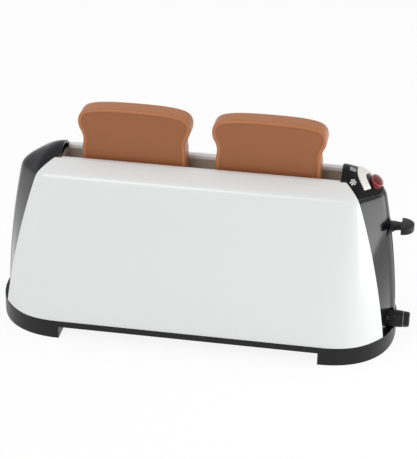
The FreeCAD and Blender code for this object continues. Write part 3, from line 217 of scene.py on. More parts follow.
FINISHES = {
    "base_tray": black_satin, "front_shell": white_abs, "rear_shell": white_abs, "left_end_cap": black_gloss,
    "right_end_cap": black_gloss, "control_panel": panel_black, "stop_button": ruby, "button_spring": steel,
    "rocker_switch": switch_white, "rocker_pin": steel, "toast_well": slot_lining_painted_shade, "carriage": acetal,
    "guide_rod_left": steel, "guide_rod_right": steel, "lift_spring_left": steel, "lift_spring_right": steel,
    "lever_arm": black_satin, "lever_head": black_satin, "toast_slice_left": toast_face,
    "toast_slice_right": toast_face, "timer_plate_inner": steel_sheet, "timer_plate_outer": steel_sheet,
    "timer_pillars": brass, "timer_nuts": steel_sheet, "winding_arbor": brass, "mainspring": steel_sheet,
    "second_wheel": brass, "third_wheel": brass, "pallet_lever": brass, "timer_knob": black_satin,
    "bell": bell_metal, "bell_post": steel, "striker_pin": steel, "striker": steel_sheet, "latch_pin": steel,
    "latch_hook": acetal, "base_screws": steel_sheet,
}
for node, finish_of in FINISHES.items():
    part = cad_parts[node]
    part.data.materials.clear()
    part.data.materials.append(finish_of)


# Sheets with a wall

def sheet_normals(grid, outside):
    """Unit normals of a grid of points, turned towards a point outside."""
    along = np.gradient(grid, axis=0)
    across = np.gradient(grid, axis=1)
    normal = np.cross(along, across)
    normal /= np.maximum(np.linalg.norm(normal, axis=2, keepdims=True), 1e-9)
    turn = np.sign(np.sum(normal * (np.asarray(outside, float) - grid), axis=2, keepdims=True))
    return normal * np.where(turn == 0, 1, turn)


def walled(grid, inner):
    """Points and faces of a closed sheet between an outer and an inner grid."""
    rows, columns = grid.shape[:2]
    count = rows * columns
    points = np.concatenate([grid.reshape(-1, 3), inner.reshape(-1, 3)])
    faces = grid_faces(rows, columns) + grid_faces(rows, columns, first=count)
    rim = list(range(columns)) + [r * columns + columns - 1 for r in range(1, rows)]
    rim += [(rows - 1) * columns + c for c in range(columns - 2, -1, -1)]
    rim += [r * columns for r in range(rows - 2, 0, -1)]
    for one, two in zip(rim, rim[1:] + rim[:1]):
        faces.append((one, two, two + count, one + count))
    return points.tolist(), faces


def relaxed(grid, rounds):
    """Rounds a grid's corners by moving each inner point towards its neighbours."""
    grid = grid.copy()
    for _ in range(rounds):
        middle = (grid[:-2, 1:-1] + grid[2:, 1:-1] + grid[1:-1, :-2] + grid[1:-1, 2:]) / 4
        grid[1:-1, 1:-1] = 0.4 * grid[1:-1, 1:-1] + 0.6 * middle
    return grid


# White shells

# A level of a shell: height, front face's depth, half of its flat run, side edge and the edge's depth.
SHELL_FOOT = (12.4, 50.3, 86.5, 126.6, 29.0)
SHELL_SHOULDER = (107.0, 27.0, 97.0, 105.2, 24.4)
SHELL_RIM = (113.8, 12.5, 94.1, 95.6, 11.9)
WALL_SWELL = (0.0, 1.6, 0.0, 2.3, 0.0)
SLOPE_SWELL = (0.0, 1.7, 0.0, 0.85, 0.85)
WALL_LEVELS = 96
SLOPE_LEVELS = 18
EDGE_STEP = 0.3
SOFTENING, REACH = 2.6, 6          # the rounding of the shoulder, in levels
CORNER_LEAN = math.radians(56)
SHELL_WALL = 1.8
# Depth and height of the lip that turns down into the slot.
LIP = ((12.2, 113.78), (11.6, 113.8), (9.9, 113.8), (9.45, 113.7), (9.2, 113.3), (9.2, 111.4))
LIP_HALF = 91.5
LIP_UNDER = 112.0
LIP_INNER = 10.9


def level_between(low, high, share, swells):
    return [between(one, two, share, swell) for one, two, swell in zip(low, high, swells)]


def shell_stations():
    """The levels of a shell, from the foot over the rounded shoulder to the rim."""
    rows = []
    for share in np.linspace(0, 1, WALL_LEVELS):
        rows.append(level_between(SHELL_FOOT, SHELL_SHOULDER, share, WALL_SWELL))
    for share in np.linspace(0, 1, SLOPE_LEVELS)[1:]:
        row = level_between(SHELL_SHOULDER, SHELL_RIM, share, SLOPE_SWELL)
        row[4] = min(row[4], row[1] - EDGE_STEP)          # the edge stays behind the front
        rows.append(row)
    rows = np.array(rows)
    weights = np.exp(-0.5 * (np.arange(-REACH, REACH + 1) / SOFTENING) ** 2)
    weights /= weights.sum()
    soft = rows.copy()
    for index in range(REACH, len(rows) - REACH):
        soft[index] = (rows[index - REACH:index + REACH + 1] * weights[:, None]).sum(0)
    return soft


STATIONS = shell_stations()


def shell_row(station):
    """One level of the front shell: corner, front, corner."""
    height, front, flat, side, depth = station
    start = flat + 0.52 * (side - flat)
    pull = 0.8 * (front - depth)
    turn = (side - pull * math.cos(CORNER_LEAN), -depth - pull * math.sin(CORNER_LEAN), height)
    corner = bezier((side, -depth, height), turn, (start, -front, height), (flat, -front, height), 34)
    run = np.stack([np.linspace(flat, -flat, 40), np.full(40, -front), np.full(40, height)], 1)[1:-1]
    return np.concatenate([corner, run, corner[::-1] * (-1, 1, 1)])


def shell(name, node, side):
    """A casing half: wall, top slope and lip in one sheet."""
    grid = np.array([shell_row(station) for station in STATIONS])
    columns = grid.shape[1]
    places = np.linspace(LIP_HALF, -LIP_HALF, columns)
    lip = [np.stack([places, np.full(columns, -depth), np.full(columns, height)], 1) for depth, height in LIP]
    grid = np.concatenate([grid, np.array(lip)])
    grid[:, :, 1] *= -side
    normals = sheet_normals(grid, (0, 0, 0)) * -1
    normals[-len(LIP):] = (0, 0, 1)
    normals[-2:] = (0, -side, 0)
    inner = grid - normals * SHELL_WALL
    inner[-2:, :, 1] = side * LIP_INNER
    inner[-len(LIP):-2, :, 2] = LIP_UNDER
    points, faces = walled(grid, inner)
    return piece(name, points, faces, white_abs, "housing", (node,))


shell("front_shell_skin", "front_shell", -1)
shell("rear_shell_skin", "rear_shell", 1)

# Black end caps

# Sections of the dome: place along X, half width, height at the edge and height of the crown.
DOME = np.array([(91.8, 12.1, 113.6, 120.2), (95.6, 12.1, 113.4, 119.7), (100.2, 18.0, 109.9, 117.9),
                 (104.8, 24.0, 106.3, 115.3), (110.3, 17.2, 105.1, 112.4), (114.9, 11.5, 104.2, 109.6),
                 (117.3, 8.9, 104.0, 107.6), (119.6, 5.2, 103.8, 105.6), (120.8, 0.5, 103.7, 104.2)])
CROWN = 0.5 * (DOME[:, 3] + np.convolve(np.pad(DOME[:, 3], 1, mode="edge"), (0.08, 0.84, 0.08), "valid"))
CAP_LOW, CAP_HIGH, CAP_FOOT = 12.2, 104.0, 12.35
CREASE_DEPTH = 9.0
CAP_START = 91.9
CAP_WALL = 2.0
EDGE_GAP = 0.4


def dome_height(x, y):
    """Height of a cap's domed top over a place in plan."""
    half, edge, crown = (np.interp(x, DOME[:, 0], column) for column in (DOME[:, 1], DOME[:, 2], CROWN))
    return crown - (crown - edge) * np.clip((np.abs(y) / np.maximum(half, 0.5)) ** 2, 0, 1.15)


def cap_reach(height):
    """How far a cap's creases and the middle of its end face reach at one level."""
    share = (height - CAP_LOW) / (CAP_HIGH - CAP_LOW)
    return between(129.4, 117.4, share, 2.6), between(132.5, 121.0, share, 1.9)


def cap_outline(height, count):
    """A cap's wall at one level: facet, crease, rounded end, crease, facet."""
    levels = STATIONS[:WALL_LEVELS]
    side = np.interp(height, levels[:, 0], levels[:, 3]) - EDGE_GAP
    depth = np.interp(height, levels[:, 0], levels[:, 4]) - EDGE_GAP
    crease, end = cap_reach(height)
    facet = np.linspace(0, 1, count)[:, None] * np.array([crease - side, depth - CREASE_DEPTH])
    facet += np.array([side, -depth])
    turn = np.linspace(-1, 1, count)[1:-1]
    nose = np.stack([end - (end - crease) * turn ** 2, turn * CREASE_DEPTH], 1)
    plan = np.concatenate([facet, nose, facet[::-1] * (1, -1)])
    return np.concatenate([plan, np.full((len(plan), 1), height)], 1)


def cap(name, node, side, cutters=()):
    """An end cap: the dome and the wall in one sheet, cut where the lever and the knob go."""
    count = 26
    top = cap_outline(CAP_HIGH, count)
    rim_height = np.interp(top[:, 0], DOME[:, 0], DOME[:, 2])
    walls = []
    for share in np.linspace(0, 1, 62):
        level = CAP_FOOT + share * (rim_height - CAP_FOOT)
        row = np.array([cap_outline(z, count)[i] for i, z in enumerate(level)])
        walls.append(row)
    walls = np.array(walls[::-1])
    columns = walls.shape[1]
    arch = np.linspace(-1, 1, columns)
    dome = []
    edge = walls[0]
    for share in np.linspace(0, 1, 26)[:-1]:
        start = np.stack([np.full(columns, CAP_START), arch * 12.0], 1)
        plan = start + (edge[:, :2] - start) * share
        lip = np.interp(plan[:, 0], DOME[:, 0], DOME[:, 1])
        plan[:, 1] = np.clip(plan[:, 1], -lip, lip)
        dome.append(np.concatenate([plan, dome_height(plan[:, 0], plan[:, 1])[:, None]], 1))
    grid = relaxed(np.concatenate([np.array(dome), walls]), 5)
    normals = sheet_normals(grid, (60.0, 0.0, 40.0)) * -1
    inner = grid - normals * CAP_WALL
    inner[0, :, 0] = grid[0, :, 0]
    grid[:, :, 0] *= side
    inner[:, :, 0] *= side
    points, faces = walled(grid, inner)
    made = piece(name, points, faces, black_gloss, "housing", (node,))
    for cutter in cutters:
        carve(made, cutter)
    made.data.polygons.foreach_set("use_smooth", [True] * len(made.data.polygons))
    made.data.set_sharp_from_angle(angle=SHARP)
    return made


def carve(made, cutter):
    """Cuts a closed mesh out of a piece and leaves a plain mesh."""
    tool = bpy.data.objects.new("tool", cutter)
    bpy.context.scene.collection.objects.link(tool)
    modifier = made.modifiers.new("cut", "BOOLEAN")
    modifier.object = tool
    modifier.solver = "EXACT"
    result = bpy.data.meshes.new_from_object(made.evaluated_get(bpy.context.evaluated_depsgraph_get()))
    made.modifiers.clear()
    old = made.data
    made.data = result
    made.data.name = made.name
    bpy.data.meshes.remove(old)
    bpy.data.objects.remove(tool)


def box_mesh(low, high):
    """A box that cuts."""
    mesh = bpy.data.meshes.new("box")
    mesh.from_pydata([point(*p) for p in box_points(low, high)], [], BOX_FACES)
    return mesh


def ring(x, centre, radius, count):
    """Points of a circle round a line along X."""
    turns = [2 * math.pi * n / count for n in range(count)]
    return [(x, centre[0] + radius * math.cos(turn), centre[1] + radius * math.sin(turn)) for turn in turns]


def disc_mesh(centre, radius, start, stop, count=64):
    """A round bar along X that cuts."""
    points = [point(*p) for x in (start, stop) for p in ring(x, centre, radius, count)]
    mesh = bpy.data.meshes.new("disc")
    mesh.from_pydata(points, [], grid_faces(2, count, wrap=True) + end_faces(2, count))
    work = bmesh.new()
    work.from_mesh(mesh)
    bmesh.ops.recalc_face_normals(work, faces=work.faces)
    work.to_mesh(mesh)
    work.free()
    return mesh


KNOB = (-9.8, 16.5)          # the knob's axis, in depth and height
POCKET, POCKET_FLOOR = 7.1, 128.1
LEVER_SLOT = ((108.0, -2.4, 27.0), (140.0, 2.4, 86.0))


def washer(name, centre, inner, outer, start, stop, material, count=64):
    """A flat ring round a line along X."""
    points = []
    for x, radius in ((start, inner), (start, outer), (stop, outer), (stop, inner)):
        points += ring(x, centre, radius, count)
    faces = grid_faces(4, count, wrap=True)
    faces += [(3 * count + n, 3 * count + (n + 1) % count, (n + 1) % count, n) for n in range(count)]
    return piece(name, points, faces, material, "housing")


cap("left_cap_skin", "left_end_cap", -1)
cap("right_cap_skin", "right_end_cap", 1,
    (box_mesh(*LEVER_SLOT), disc_mesh(KNOB, POCKET, POCKET_FLOOR, LEVER_SLOT[1][0])))
washer("knob_pocket_floor", KNOB, 2.6, 7.3, 126.8, 128.0, black_gloss)

# Panel, switch, button and printed marks

PANEL_RISE, PANEL_MARGIN, PANEL_WALL = 0.52, 1.1, 0.7
CORNER_DROP = 0.35


def panel():
    """The shiny insert: it follows the dome a little above it and ends in an arc round the button."""
    count = 81
    arch = np.linspace(-1, 1, count)
    half = bezier((105.0, -22.9, 0), (109.6, -20.2, 0), (119.4, -11.5, 0), (119.4, 0, 0), count // 2 + 1)
    half = half[:, :2]
    edge = np.concatenate([half, half[-2::-1] * (1, -1)])
    rows = []
    shares = [0.02, 0.02, 0.03, 0.045] + list(np.linspace(0.08, 0.93, 34)) + [0.965, 0.985, 1.0, 1.0]
    rises = [-0.9, 0.25, 0.45, 0.5] + [PANEL_RISE] * 34 + [0.5, 0.4, 0.15, -0.9]
    for share, rise in zip(shares, rises):
        start = np.stack([np.full(count, CAP_START), arch * 11.2], 1)
        plan = start + (edge - start) * share
        lip = np.interp(plan[:, 0], DOME[:, 0], DOME[:, 1]) - PANEL_MARGIN
        plan[:, 1] = np.clip(plan[:, 1], -lip, lip)
        height = dome_height(plan[:, 0], plan[:, 1]) + rise
        height[[0, -1]] -= CORNER_DROP
        rows.append(np.concatenate([plan, height[:, None]], 1))
    grid = np.array(rows)
    inner = grid - (0, 0, PANEL_WALL)
    points, faces = walled(grid, inner)
    return piece("panel_insert", points, faces, panel_black, "housing", ("control_panel",))


panel()

BUTTON_X = 113.8
SLOPE = math.atan2(float(dome_height(BUTTON_X + 1, 0) - dome_height(BUTTON_X - 1, 0)), 2.0)
ALONG, OUT = np.array((math.cos(SLOPE), 0, math.sin(SLOPE))), np.array((-math.sin(SLOPE), 0, math.cos(SLOPE)))
BUTTON_FOOT = np.array((BUTTON_X, 0.0, float(dome_height(BUTTON_X, 0))))
BUTTON_HALF_LENGTH, BUTTON_HALF_WIDTH = 4.5, 7.3
BUTTON_TOP, BUTTON_DEEP = 3.11, 3.0


def button():
    """Oval acrylic dome with a bevelled rim that is coloured light pink as a painted highlight."""
    rings = [(1.0, -BUTTON_DEEP), (1.0, 0.4), (1.0, 1.5), (0.985, 1.75), (0.955, 1.92), (0.915, 1.96),
             (0.885, 1.9), (0.86, 1.88), (0.8, 2.12), (0.68, 2.5), (0.5, 2.85), (0.3, 3.05), (0.1, 3.1)]
    count = 72
    points = []
    for share, level in rings:
        for n in range(count):
            angle = 2 * math.pi * n / count
            across = np.array((0, BUTTON_HALF_WIDTH * share * math.sin(angle), 0))
            along = ALONG * (BUTTON_HALF_LENGTH * share * math.cos(angle))
            points.append(BUTTON_FOOT + OUT * level + along + across)
    faces = grid_faces(len(rings), count, wrap=True)
    last = (len(rings) - 1) * count
    points.append(BUTTON_FOOT + OUT * BUTTON_TOP)
    points.append(BUTTON_FOOT - OUT * BUTTON_DEEP)
    faces += [(last + n, last + (n + 1) % count, len(points) - 2) for n in range(count)]
    faces += [((n + 1) % count, n, len(points) - 1) for n in range(count)]
    made = piece("button_dome", points, faces, ruby, "stop_button", ("stop_button",))
    made.data.materials.append(ruby_painted_highlight_rim)
    for face in made.data.polygons:
        local = np.array(face.center) / MM - (SHIFT, 0, 0) - BUTTON_FOOT
        share = math.hypot(local @ ALONG / BUTTON_HALF_LENGTH, local[1] / BUTTON_HALF_WIDTH)
        if 0.865 < share < 0.99 and local @ OUT > 1.5:          # the bevel round the dome, coloured light pink as a painted highlight
            face.material_index = 1
    return made


# Light pink for the bevel round the button dome: a painted highlight on the rim.
ruby_painted_highlight_rim = moulded_plastic("ruby_acrylic_painted_highlight_edge", "C06068", 0.2, 6.0, 0.002, 0.05)
button()

ROCKER_EDGE, ROCKER_DEEP = 0.7, 1.5


def rocker():
    """Crescent switch: a cushion between two arcs, bent over the dome."""
    def arc_points(back, half, reach):
        radius = ((reach - back) ** 2 + half ** 2) / (2 * (reach - back))
        span = math.asin(min(1.0, half / radius))
        turn = np.linspace(-span, span, count)
        return np.stack([BUTTON_X - (reach - radius) - radius * np.cos(turn), radius * np.sin(turn)], 1)

    count = 70
    outer, inner_edge = arc_points(6.4, 14.3, 12.4), arc_points(2.5, 9.4, 6.6)
    shares = [0.0, 0.0, 0.02, 0.06, 0.12, 0.25, 0.5, 0.75, 0.88, 0.94, 0.98, 1.0, 1.0]
    rises = [-1.4, 1.2, 1.5, 1.68, 1.76, 1.8, 1.82, 1.8, 1.76, 1.68, 1.5, 1.2, -1.4]
    ends = np.ones(count)
    for n, drop in enumerate((0.0, 0.55, 0.8, 0.93, 0.98)):
        ends[n] = ends[-1 - n] = drop
    rows = []
    for share, rise in zip(shares, rises):
        plan = inner_edge + (outer - inner_edge) * share
        lifted = np.where(rise > 0, ROCKER_EDGE + (rise - ROCKER_EDGE) * ends, rise)
        height = dome_height(plan[:, 0], plan[:, 1]) + lifted
        rows.append(np.concatenate([plan, height[:, None]], 1))
    grid = np.array(rows)
    inner = grid.copy()
    inner[:, :, 2] = dome_height(grid[:, :, 0], grid[:, :, 1]) - ROCKER_DEEP
    points, faces = walled(grid, inner)
    return piece("crescent_switch", points, faces, switch_white, "rocker", ("rocker_switch",))


rocker()

PRINT_RISE = PANEL_RISE + 0.04


def strip_on_panel(start, stop, width):
    """Corners of a short printed bar that lies on the panel."""
    start, stop = np.asarray(start, float), np.asarray(stop, float)
    way = (stop - start) / np.linalg.norm(stop - start)
    side = np.array((-way[1], way[0])) * width / 2
    points = []
    for share in np.linspace(0, 1, 5):
        for offset in (side, -side):
            x, y = start + (stop - start) * share + offset
            points.append((x, y, float(dome_height(x, y)) + PRINT_RISE))
    return points, [(2 * n, 2 * n + 1, 2 * n + 3, 2 * n + 2) for n in range(4)]


def marks():
    """Two printed signs: a snow crystal for frozen bread and a slice under heat."""
    print_white = moulded_plastic("white_pad_print_ink", "F4F4F2", 0.45, 0.6, 0.002, 0.01)
    points, faces = [], []

    def add_bar(start, stop, width):
        more, quads = strip_on_panel(start, stop, width)
        first = len(points)
        points.extend(more)
        faces.extend(tuple(first + n for n in quad) for quad in quads)

    x, y = 99.9, -12.2                       # the crystal: six rays with a pair of twigs each
    for turn in range(6):
        angle = math.radians(60 * turn + 12)
        way = np.array((math.cos(angle), math.sin(angle)))
        side = np.array((-way[1], way[0]))
        add_bar(np.array((x, y)) + way * 0.35, np.array((x, y)) + way * 2.1, 0.5)
        for lean in (-1, 1):
            add_bar(np.array((x, y)) + way * 1.25, np.array((x, y)) + way * 1.75 + side * lean * 0.6, 0.35)
    x, y = 98.7, -1.9                        # the slice: its outline and two bars of heat
    outline = [(-1.5, -1.5), (-1.5, 0.5), (-1.8, 1.0), (-1.3, 1.6), (1.3, 1.6), (1.8, 1.0), (1.5, 0.5),
               (1.5, -1.5), (-1.5, -1.5)]
    for one, two in zip(outline, outline[1:]):
        add_bar((x - one[1], y + one[0]), (x - two[1], y + two[0]), 0.42)
    for place in (-0.6, 0.6):
        add_bar((x - 0.9, y + place), (x + 0.9, y + place), 0.4)
    return piece("printed_marks", points, faces, print_white, "housing", outward=False)


marks()

# Toast slices

def slice_line():
    """Outline of a slice from its middle top round to its foot and back, seen from the front."""
    foot, waist, crown = 35.5, 33.5, 37.0          # half widths
    base, top = 71.0, 149.0
    waist_z, crown_z = base + 57.5, base + 66.0
    shoulder = (crown - 3.6, 0, top - 3.4)
    neck = ((waist + crown) / 2, 0, (waist_z + crown_z) / 2 - 1)
    hip = (foot * 0.35 + waist * 0.65, 0, waist_z - 7)
    half = np.concatenate([
        bezier((0, 0, top), (crown * 0.4, 0, top), (shoulder[0] - 5, 0, top - 0.4), shoulder, 26),
        bezier(shoulder, (crown + 1.2, 0, crown_z + 6), (crown + 1.0, 0, crown_z - 1), neck, 26)[1:],
        bezier(neck, (waist, 0, waist_z), (waist, 0, waist_z - 3), hip, 14)[1:],
        bezier(hip, (34.3, 0, 105), (foot, 0, 85), (foot, 0, base + 1.5), 12)[1:],
        np.array([(foot - 0.4, 0, base + 0.4), (foot - 1.5, 0, base), (20, 0, base), (0, 0, base)])])
    line = np.concatenate([half, half[-2:0:-1] * (-1, 1, 1)])
    step = np.roll(line, -1, 0) - np.roll(line, 1, 0)
    step /= np.linalg.norm(step, axis=1, keepdims=True)
    inward = np.stack([step[:, 2] * -1, np.zeros(len(line)), step[:, 0]], 1)
    inward *= -np.sign(np.sum(inward * (line - (0, 0, 110)), axis=1).mean())
    return line, inward


def slice_piece(name, node, body, middle):
    """A slice with a rounded crust and a face that lies a little below it."""
    line, inward = slice_line()
    # Each ring of the crust: how far in from the outline, and how far from the slice's middle plane.
    profile = [(0.0, 0.0), (0.0, 3.0), (0.0, 5.0), (0.12, 5.9), (0.42, 6.5), (0.85, 6.86), (1.3, 7.0),
               (1.75, 6.95), (2.1, 6.75), (2.4, 6.45), (2.75, 6.25), (3.3, 6.15), (4.4, 6.12)]
    rows = [(d, -h) for d, h in reversed(profile[1:])] + profile
    points = []
    for inset, level in rows:
        for place, way in zip(line, inward):
            points.append((middle + place[0] + way[0] * inset, level, place[2] + way[2] * inset))
    count = len(line)
    faces = grid_faces(len(rows), count, wrap=True) + end_faces(len(rows), count)
    made = piece(name, points, faces, toast_crust, body, (node,))
    made.data.materials.append(toast_face)
    for face in made.data.polygons:
        spot = face.center / MM
        inside = abs(spot.y) < 6.5 and abs(face.normal.y) > 0.75
        face.material_index = 1 if len(face.vertices) > 4 or inside else 0          # 1 is the crumb face
    return made


slice_piece("slice_left_moulding", "toast_slice_left", "slice_left", -44.15)
slice_piece("slice_right_moulding", "toast_slice_right", "slice_right", 44.15)

# Lever

LEVER_LEVEL, HEAD_START = 80.2, 132.2


def lever_head():
    """D-shaped paddle with a rounded edge."""
    start, tip, half, thick = HEAD_START, 140.6, 8.6, 5.0
    curve = bezier((start, -half, 0), (start + 4.9, -half, 0), (tip, -half * 0.56, 0), (tip, 0, 0), 22)
    line = np.concatenate([curve, curve[-2::-1] * (1, -1, 1)])
    back = np.stack([np.full(9, start), np.linspace(half, -half, 11)[1:-1], np.zeros(9)], 1)
    line = np.concatenate([line, back])
    middle = np.array(((start + tip) / 2 - 0.6, 0, 0))
    rings = [(0.84, -1.0), (0.93, -0.96), (0.98, -0.84), (1.0, -0.6), (1.0, 0.0), (1.0, 0.5), (0.985, 0.78),
             (0.95, 0.93), (0.88, 1.0)]
    points = []
    for share, level in rings:
        for spot in line:
            place = middle + (spot - middle) * share
            crown = 0.35 if level >= 0.93 else 0.0
            points.append((place[0], place[1], LEVER_LEVEL + level * thick / 2 - crown))
    count = len(line)
    faces = grid_faces(len(rings), count, wrap=True) + end_faces(len(rings), count)
    return piece("lever_paddle", points, faces, black_satin, "lever", ("lever_head",))


def lever_arm():
    """Arm that flares into a saddle against the end face and droops at its edges."""
    root, stop, clearance, squareness = 126.6, 132.4, 0.35, 0.55

    def end_face(y, z):
        crease, end = cap_reach(z)
        return end - (end - crease) * (y / CREASE_DEPTH) ** 2

    rows, count = 24, 40
    points = []
    for share in np.linspace(0, 1, rows):
        flare = (1 - share) ** 3
        half = 3.5 + 5.1 * flare
        x = root + (stop - root) * share
        thick = 4.0 - 0.3 * flare
        for turn in np.linspace(0, 2 * math.pi, count, endpoint=False):
            y = half * np.sign(math.cos(turn)) * abs(math.cos(turn)) ** squareness
            z = thick / 2 * np.sign(math.sin(turn)) * abs(math.sin(turn)) ** squareness
            droop = -4.4 * flare * (abs(y) / 8.6) ** 2.4
            level = LEVER_LEVEL + z + droop + (0.4 if share < 0.1 else 0)
            points.append((x + (end_face(y, level) + clearance - root) * (1 - share) ** 2, y, level))
    faces = grid_faces(rows, count, wrap=True) + end_faces(rows, count)
    tongue = len(points)
    points += box_points((104.5, -2.0, 78.2), (127.2, 2.0, 82.2))
    faces += [tuple(tongue + n for n in quad) for quad in BOX_FACES]
    return piece("lever_saddle_arm", points, faces, black_satin, "lever", ("lever_arm",))


lever_head()
lever_arm()

# Timer knob

def knob_grip():
    """Grip: a tapered body with two flats, a pale ring and a round end."""
    # Place along X, radius, and whether the flats cut it.
    stations = [
        (128.5, 5.3, 0), (131.0, 5.4, 0), (131.9, 5.5, 0), (132.0, 5.85, 0), (132.5, 5.9, 0),
        (133.0, 5.85, 0), (133.4, 5.75, 1), (134.5, 5.7, 1), (136.0, 5.6, 1), (137.4, 5.5, 1),
        (137.8, 5.45, 0), (138.0, 5.4, 0), (138.1, 5.2, 0), (138.5, 5.2, 0), (138.6, 5.35, 0),
        (139.2, 5.3, 0), (140.8, 5.15, 0), (141.8, 5.0, 0), (142.3, 4.6, 0), (142.5, 4.1, 0),
        (142.5, 2.5, 0), (142.4, 0.2, 0)]
    half_flat = 4.1
    count = 72
    points = []
    for x, radius, flat in stations:
        for n in range(count):
            angle = 2 * math.pi * n / count
            y, z = radius * math.cos(angle), radius * math.sin(angle)
            if flat:
                y = max(-half_flat, min(half_flat, y))
            points.append((x, KNOB[0] + y, KNOB[1] + z))
    faces = grid_faces(len(stations), count, wrap=True) + end_faces(len(stations), count)
    made = piece("knob_grip_body", points, faces, black_satin, "knob", ("timer_knob",))
    made.data.materials.append(pale_ring)
    for face in made.data.polygons:
        if 138.05 < face.center.x / MM - SHIFT < 138.6:          # the pale ring's groove
            face.material_index = 1
    return made


def collar_ribs():
    """Ribs round the collar, set out by a node tree on a circle of points."""
    tree = bpy.data.node_groups.new("ribs_round_a_collar", "GeometryNodeTree")
    inputs = (("Count", "NodeSocketInt", 20), ("Radius", "NodeSocketFloat", 5.4 * MM),
              ("Rib radius", "NodeSocketFloat", 0.85 * MM), ("Length", "NodeSocketFloat", 3.4 * MM))
    for name, kind, value in inputs:
        tree.interface.new_socket(name, in_out="INPUT", socket_type=kind).default_value = value
    tree.interface.new_socket("Geometry", in_out="OUTPUT", socket_type="NodeSocketGeometry")
    given = add(tree, "NodeGroupInput").outputs
    circle = add(tree, "GeometryNodeMeshCircle", {"Vertices": given["Count"], "Radius": given["Radius"]},
                 fill_type="NONE")
    rib = add(tree, "GeometryNodeMeshCylinder", {
        "Vertices": 12, "Side Segments": 1, "Radius": given["Rib radius"], "Depth": given["Length"]})
    placed = add(tree, "GeometryNodeInstanceOnPoints", {
        "Points": circle.outputs[0], "Instance": rib.outputs[0]})
    solid = add(tree, "GeometryNodeRealizeInstances", {"Geometry": placed.outputs[0]})
    finish_node = add(tree, "GeometryNodeSetMaterial", {
        "Geometry": solid.outputs[0], "Material": black_satin})
    add(tree, "NodeGroupOutput", {"Geometry": finish_node.outputs[0]})
    return mesh_from_tree("collar_ribs", tree)


def mesh_from_tree(name, tree):
    """Runs a node tree on an empty mesh and returns its plain mesh."""
    holder = bpy.data.objects.new(name, bpy.data.meshes.new(name + "_start"))
    bpy.context.scene.collection.objects.link(holder)
    modifier = holder.modifiers.new("nodes", "NODES")
    modifier.node_group = tree
    bpy.context.view_layer.update()
    mesh = bpy.data.meshes.new_from_object(holder.evaluated_get(bpy.context.evaluated_depsgraph_get()))
    mesh.name = name
    bpy.data.objects.remove(holder)
    return mesh


pale_ring = moulded_plastic("pale_grey_abs_ring", "8C9094", 0.3, 1.0, 0.003, 0.03)
knob_grip()
ribs = collar_ribs()
ribs.transform(Matrix.Translation(point(130.2, *KNOB)) @ Matrix.Rotation(math.radians(90), 4, "Y"))
finish("knob_collar_ribs", ribs, black_satin, "knob")

# Room, lamps and camera

def seen_straight(tree, ray):
    """1 for a ray from the camera, or through or off a shiny piece."""
    seen = add(tree, "ShaderNodeMath", {0: ray.outputs["Is Camera Ray"], 1: ray.outputs["Is Glossy Ray"]},
               operation="MAXIMUM")
    seen = add(tree, "ShaderNodeMath", {0: seen.outputs[0], 1: ray.outputs["Is Transmission Ray"]},
               operation="MAXIMUM")
    return seen.outputs[0]


def backdrop_material(name, colour):
    """Pale matt floor that looks white where the camera or a reflection meets it, and keeps a shadow."""
    material = bpy.data.materials.new(name)
    material.use_nodes = True
    tree = material.node_tree
    tree.nodes.clear()
    seen = seen_straight(tree, add(tree, "ShaderNodeLightPath"))
    share = add(tree, "ShaderNodeMath", {0: seen, 1: 0.86}, operation="MULTIPLY")
    matt = add(tree, "ShaderNodeBsdfDiffuse", {"Color": linear(colour)})
    glow = add(tree, "ShaderNodeEmission", {"Color": (1, 1, 1, 1), "Strength": 1.03})
    both = add(tree, "ShaderNodeMixShader", {0: share.outputs[0], 1: matt.outputs[0], 2: glow.outputs[0]})
    add(tree, "ShaderNodeOutputMaterial", {"Surface": both.outputs[0]})
    return material


FLOOR, FLOOR_HALF = -0.0002, 6
floor_mesh = bpy.data.meshes.new("floor")
corners = [(x * FLOOR_HALF, y * FLOOR_HALF, FLOOR) for x, y in ((-1, -1), (1, -1), (1, 1), (-1, 1))]
floor_mesh.from_pydata(corners, [], [(0, 1, 2, 3)])
floor_mesh.materials.append(backdrop_material("pale_matt_paper", "F2F2F2"))
floor = bpy.data.objects.new("floor", floor_mesh)
bpy.context.scene.collection.objects.link(floor)

world = bpy.data.worlds.new("studio")
bpy.context.scene.world = world
world.use_nodes = True
tree = world.node_tree
tree.nodes.clear()
ray = add(tree, "ShaderNodeLightPath")
level = add(tree, "ShaderNodeMapRange", {"Value": seen_straight(tree, ray), "To Min": 0.62, "To Max": 1.0})
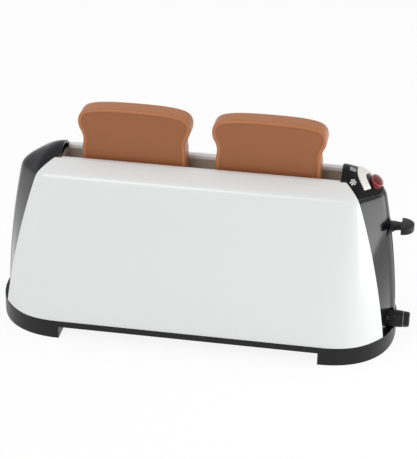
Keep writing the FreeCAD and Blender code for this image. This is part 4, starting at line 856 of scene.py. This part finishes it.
# Reflections see a dimmer room, so black mouldings stay black.
dim = add(tree, "ShaderNodeMath", {0: ray.outputs["Is Glossy Ray"], 1: 0.35}, operation="MULTIPLY")
strength = add(tree, "ShaderNodeMath", {0: level.outputs[0], 1: dim.outputs[0]}, operation="SUBTRACT")
sky = add(tree, "ShaderNodeBackground", {"Color": (1, 1, 1, 1), "Strength": strength.outputs[0]})
add(tree, "ShaderNodeOutputWorld", {"Surface": sky.outputs[0]})


def softbox(name, place, aim, width, height, power):
    """A rectangular lamp, in metres and watts."""
    lamp = bpy.data.lights.new(name, "AREA")
    lamp.shape = "RECTANGLE"
    lamp.size, lamp.size_y, lamp.energy = width, height, power
    made = bpy.data.objects.new(name, lamp)
    made.location = place
    made.rotation_mode = "QUATERNION"
    made.rotation_quaternion = (Vector(aim) - Vector(place)).to_track_quat("-Z", "Y")
    bpy.context.scene.collection.objects.link(made)


softbox("key", (-0.5, -1.0, 1.3), (0, 0, 0.06), 0.9, 0.6, 7.0)
softbox("right", (0.36, -0.02, 0.075), (0.0, 0.0, 0.07), 0.34, 0.14, 0.42)

AZIMUTH, ELEVATION, ROLL = math.radians(9.05), math.radians(27.6), math.radians(1.1)
AIM_HEIGHT, AIM_RIGHT, AIM_DOWN = 70, 0.005, 0.0052
DISTANCE, FOCAL_PIXELS, PICTURE_HEIGHT, SENSOR = 1.151, 1733, 459, 36
right = Vector((math.cos(AZIMUTH), math.sin(AZIMUTH), 0))
back = Vector((math.sin(AZIMUTH) * math.cos(ELEVATION), -math.cos(AZIMUTH) * math.cos(ELEVATION),
               math.sin(ELEVATION)))
up = back.cross(right)
camera = bpy.data.objects.new("camera", bpy.data.cameras.new("camera"))
bpy.context.scene.collection.objects.link(camera)
bpy.context.scene.camera = camera
across = right * math.cos(ROLL) + up * math.sin(ROLL)
upward = -right * math.sin(ROLL) + up * math.cos(ROLL)
turn = Matrix((across, upward, back)).transposed().to_4x4()
place = point(0, 0, AIM_HEIGHT) + back * DISTANCE + right * AIM_RIGHT - up * AIM_DOWN
camera.matrix_world = Matrix.Translation(place) @ turn
camera.data.lens = FOCAL_PIXELS / PICTURE_HEIGHT * SENSOR
camera.data.clip_start, camera.data.clip_end = 0.05, 30

bpy.context.scene.view_settings.view_transform = "Standard"
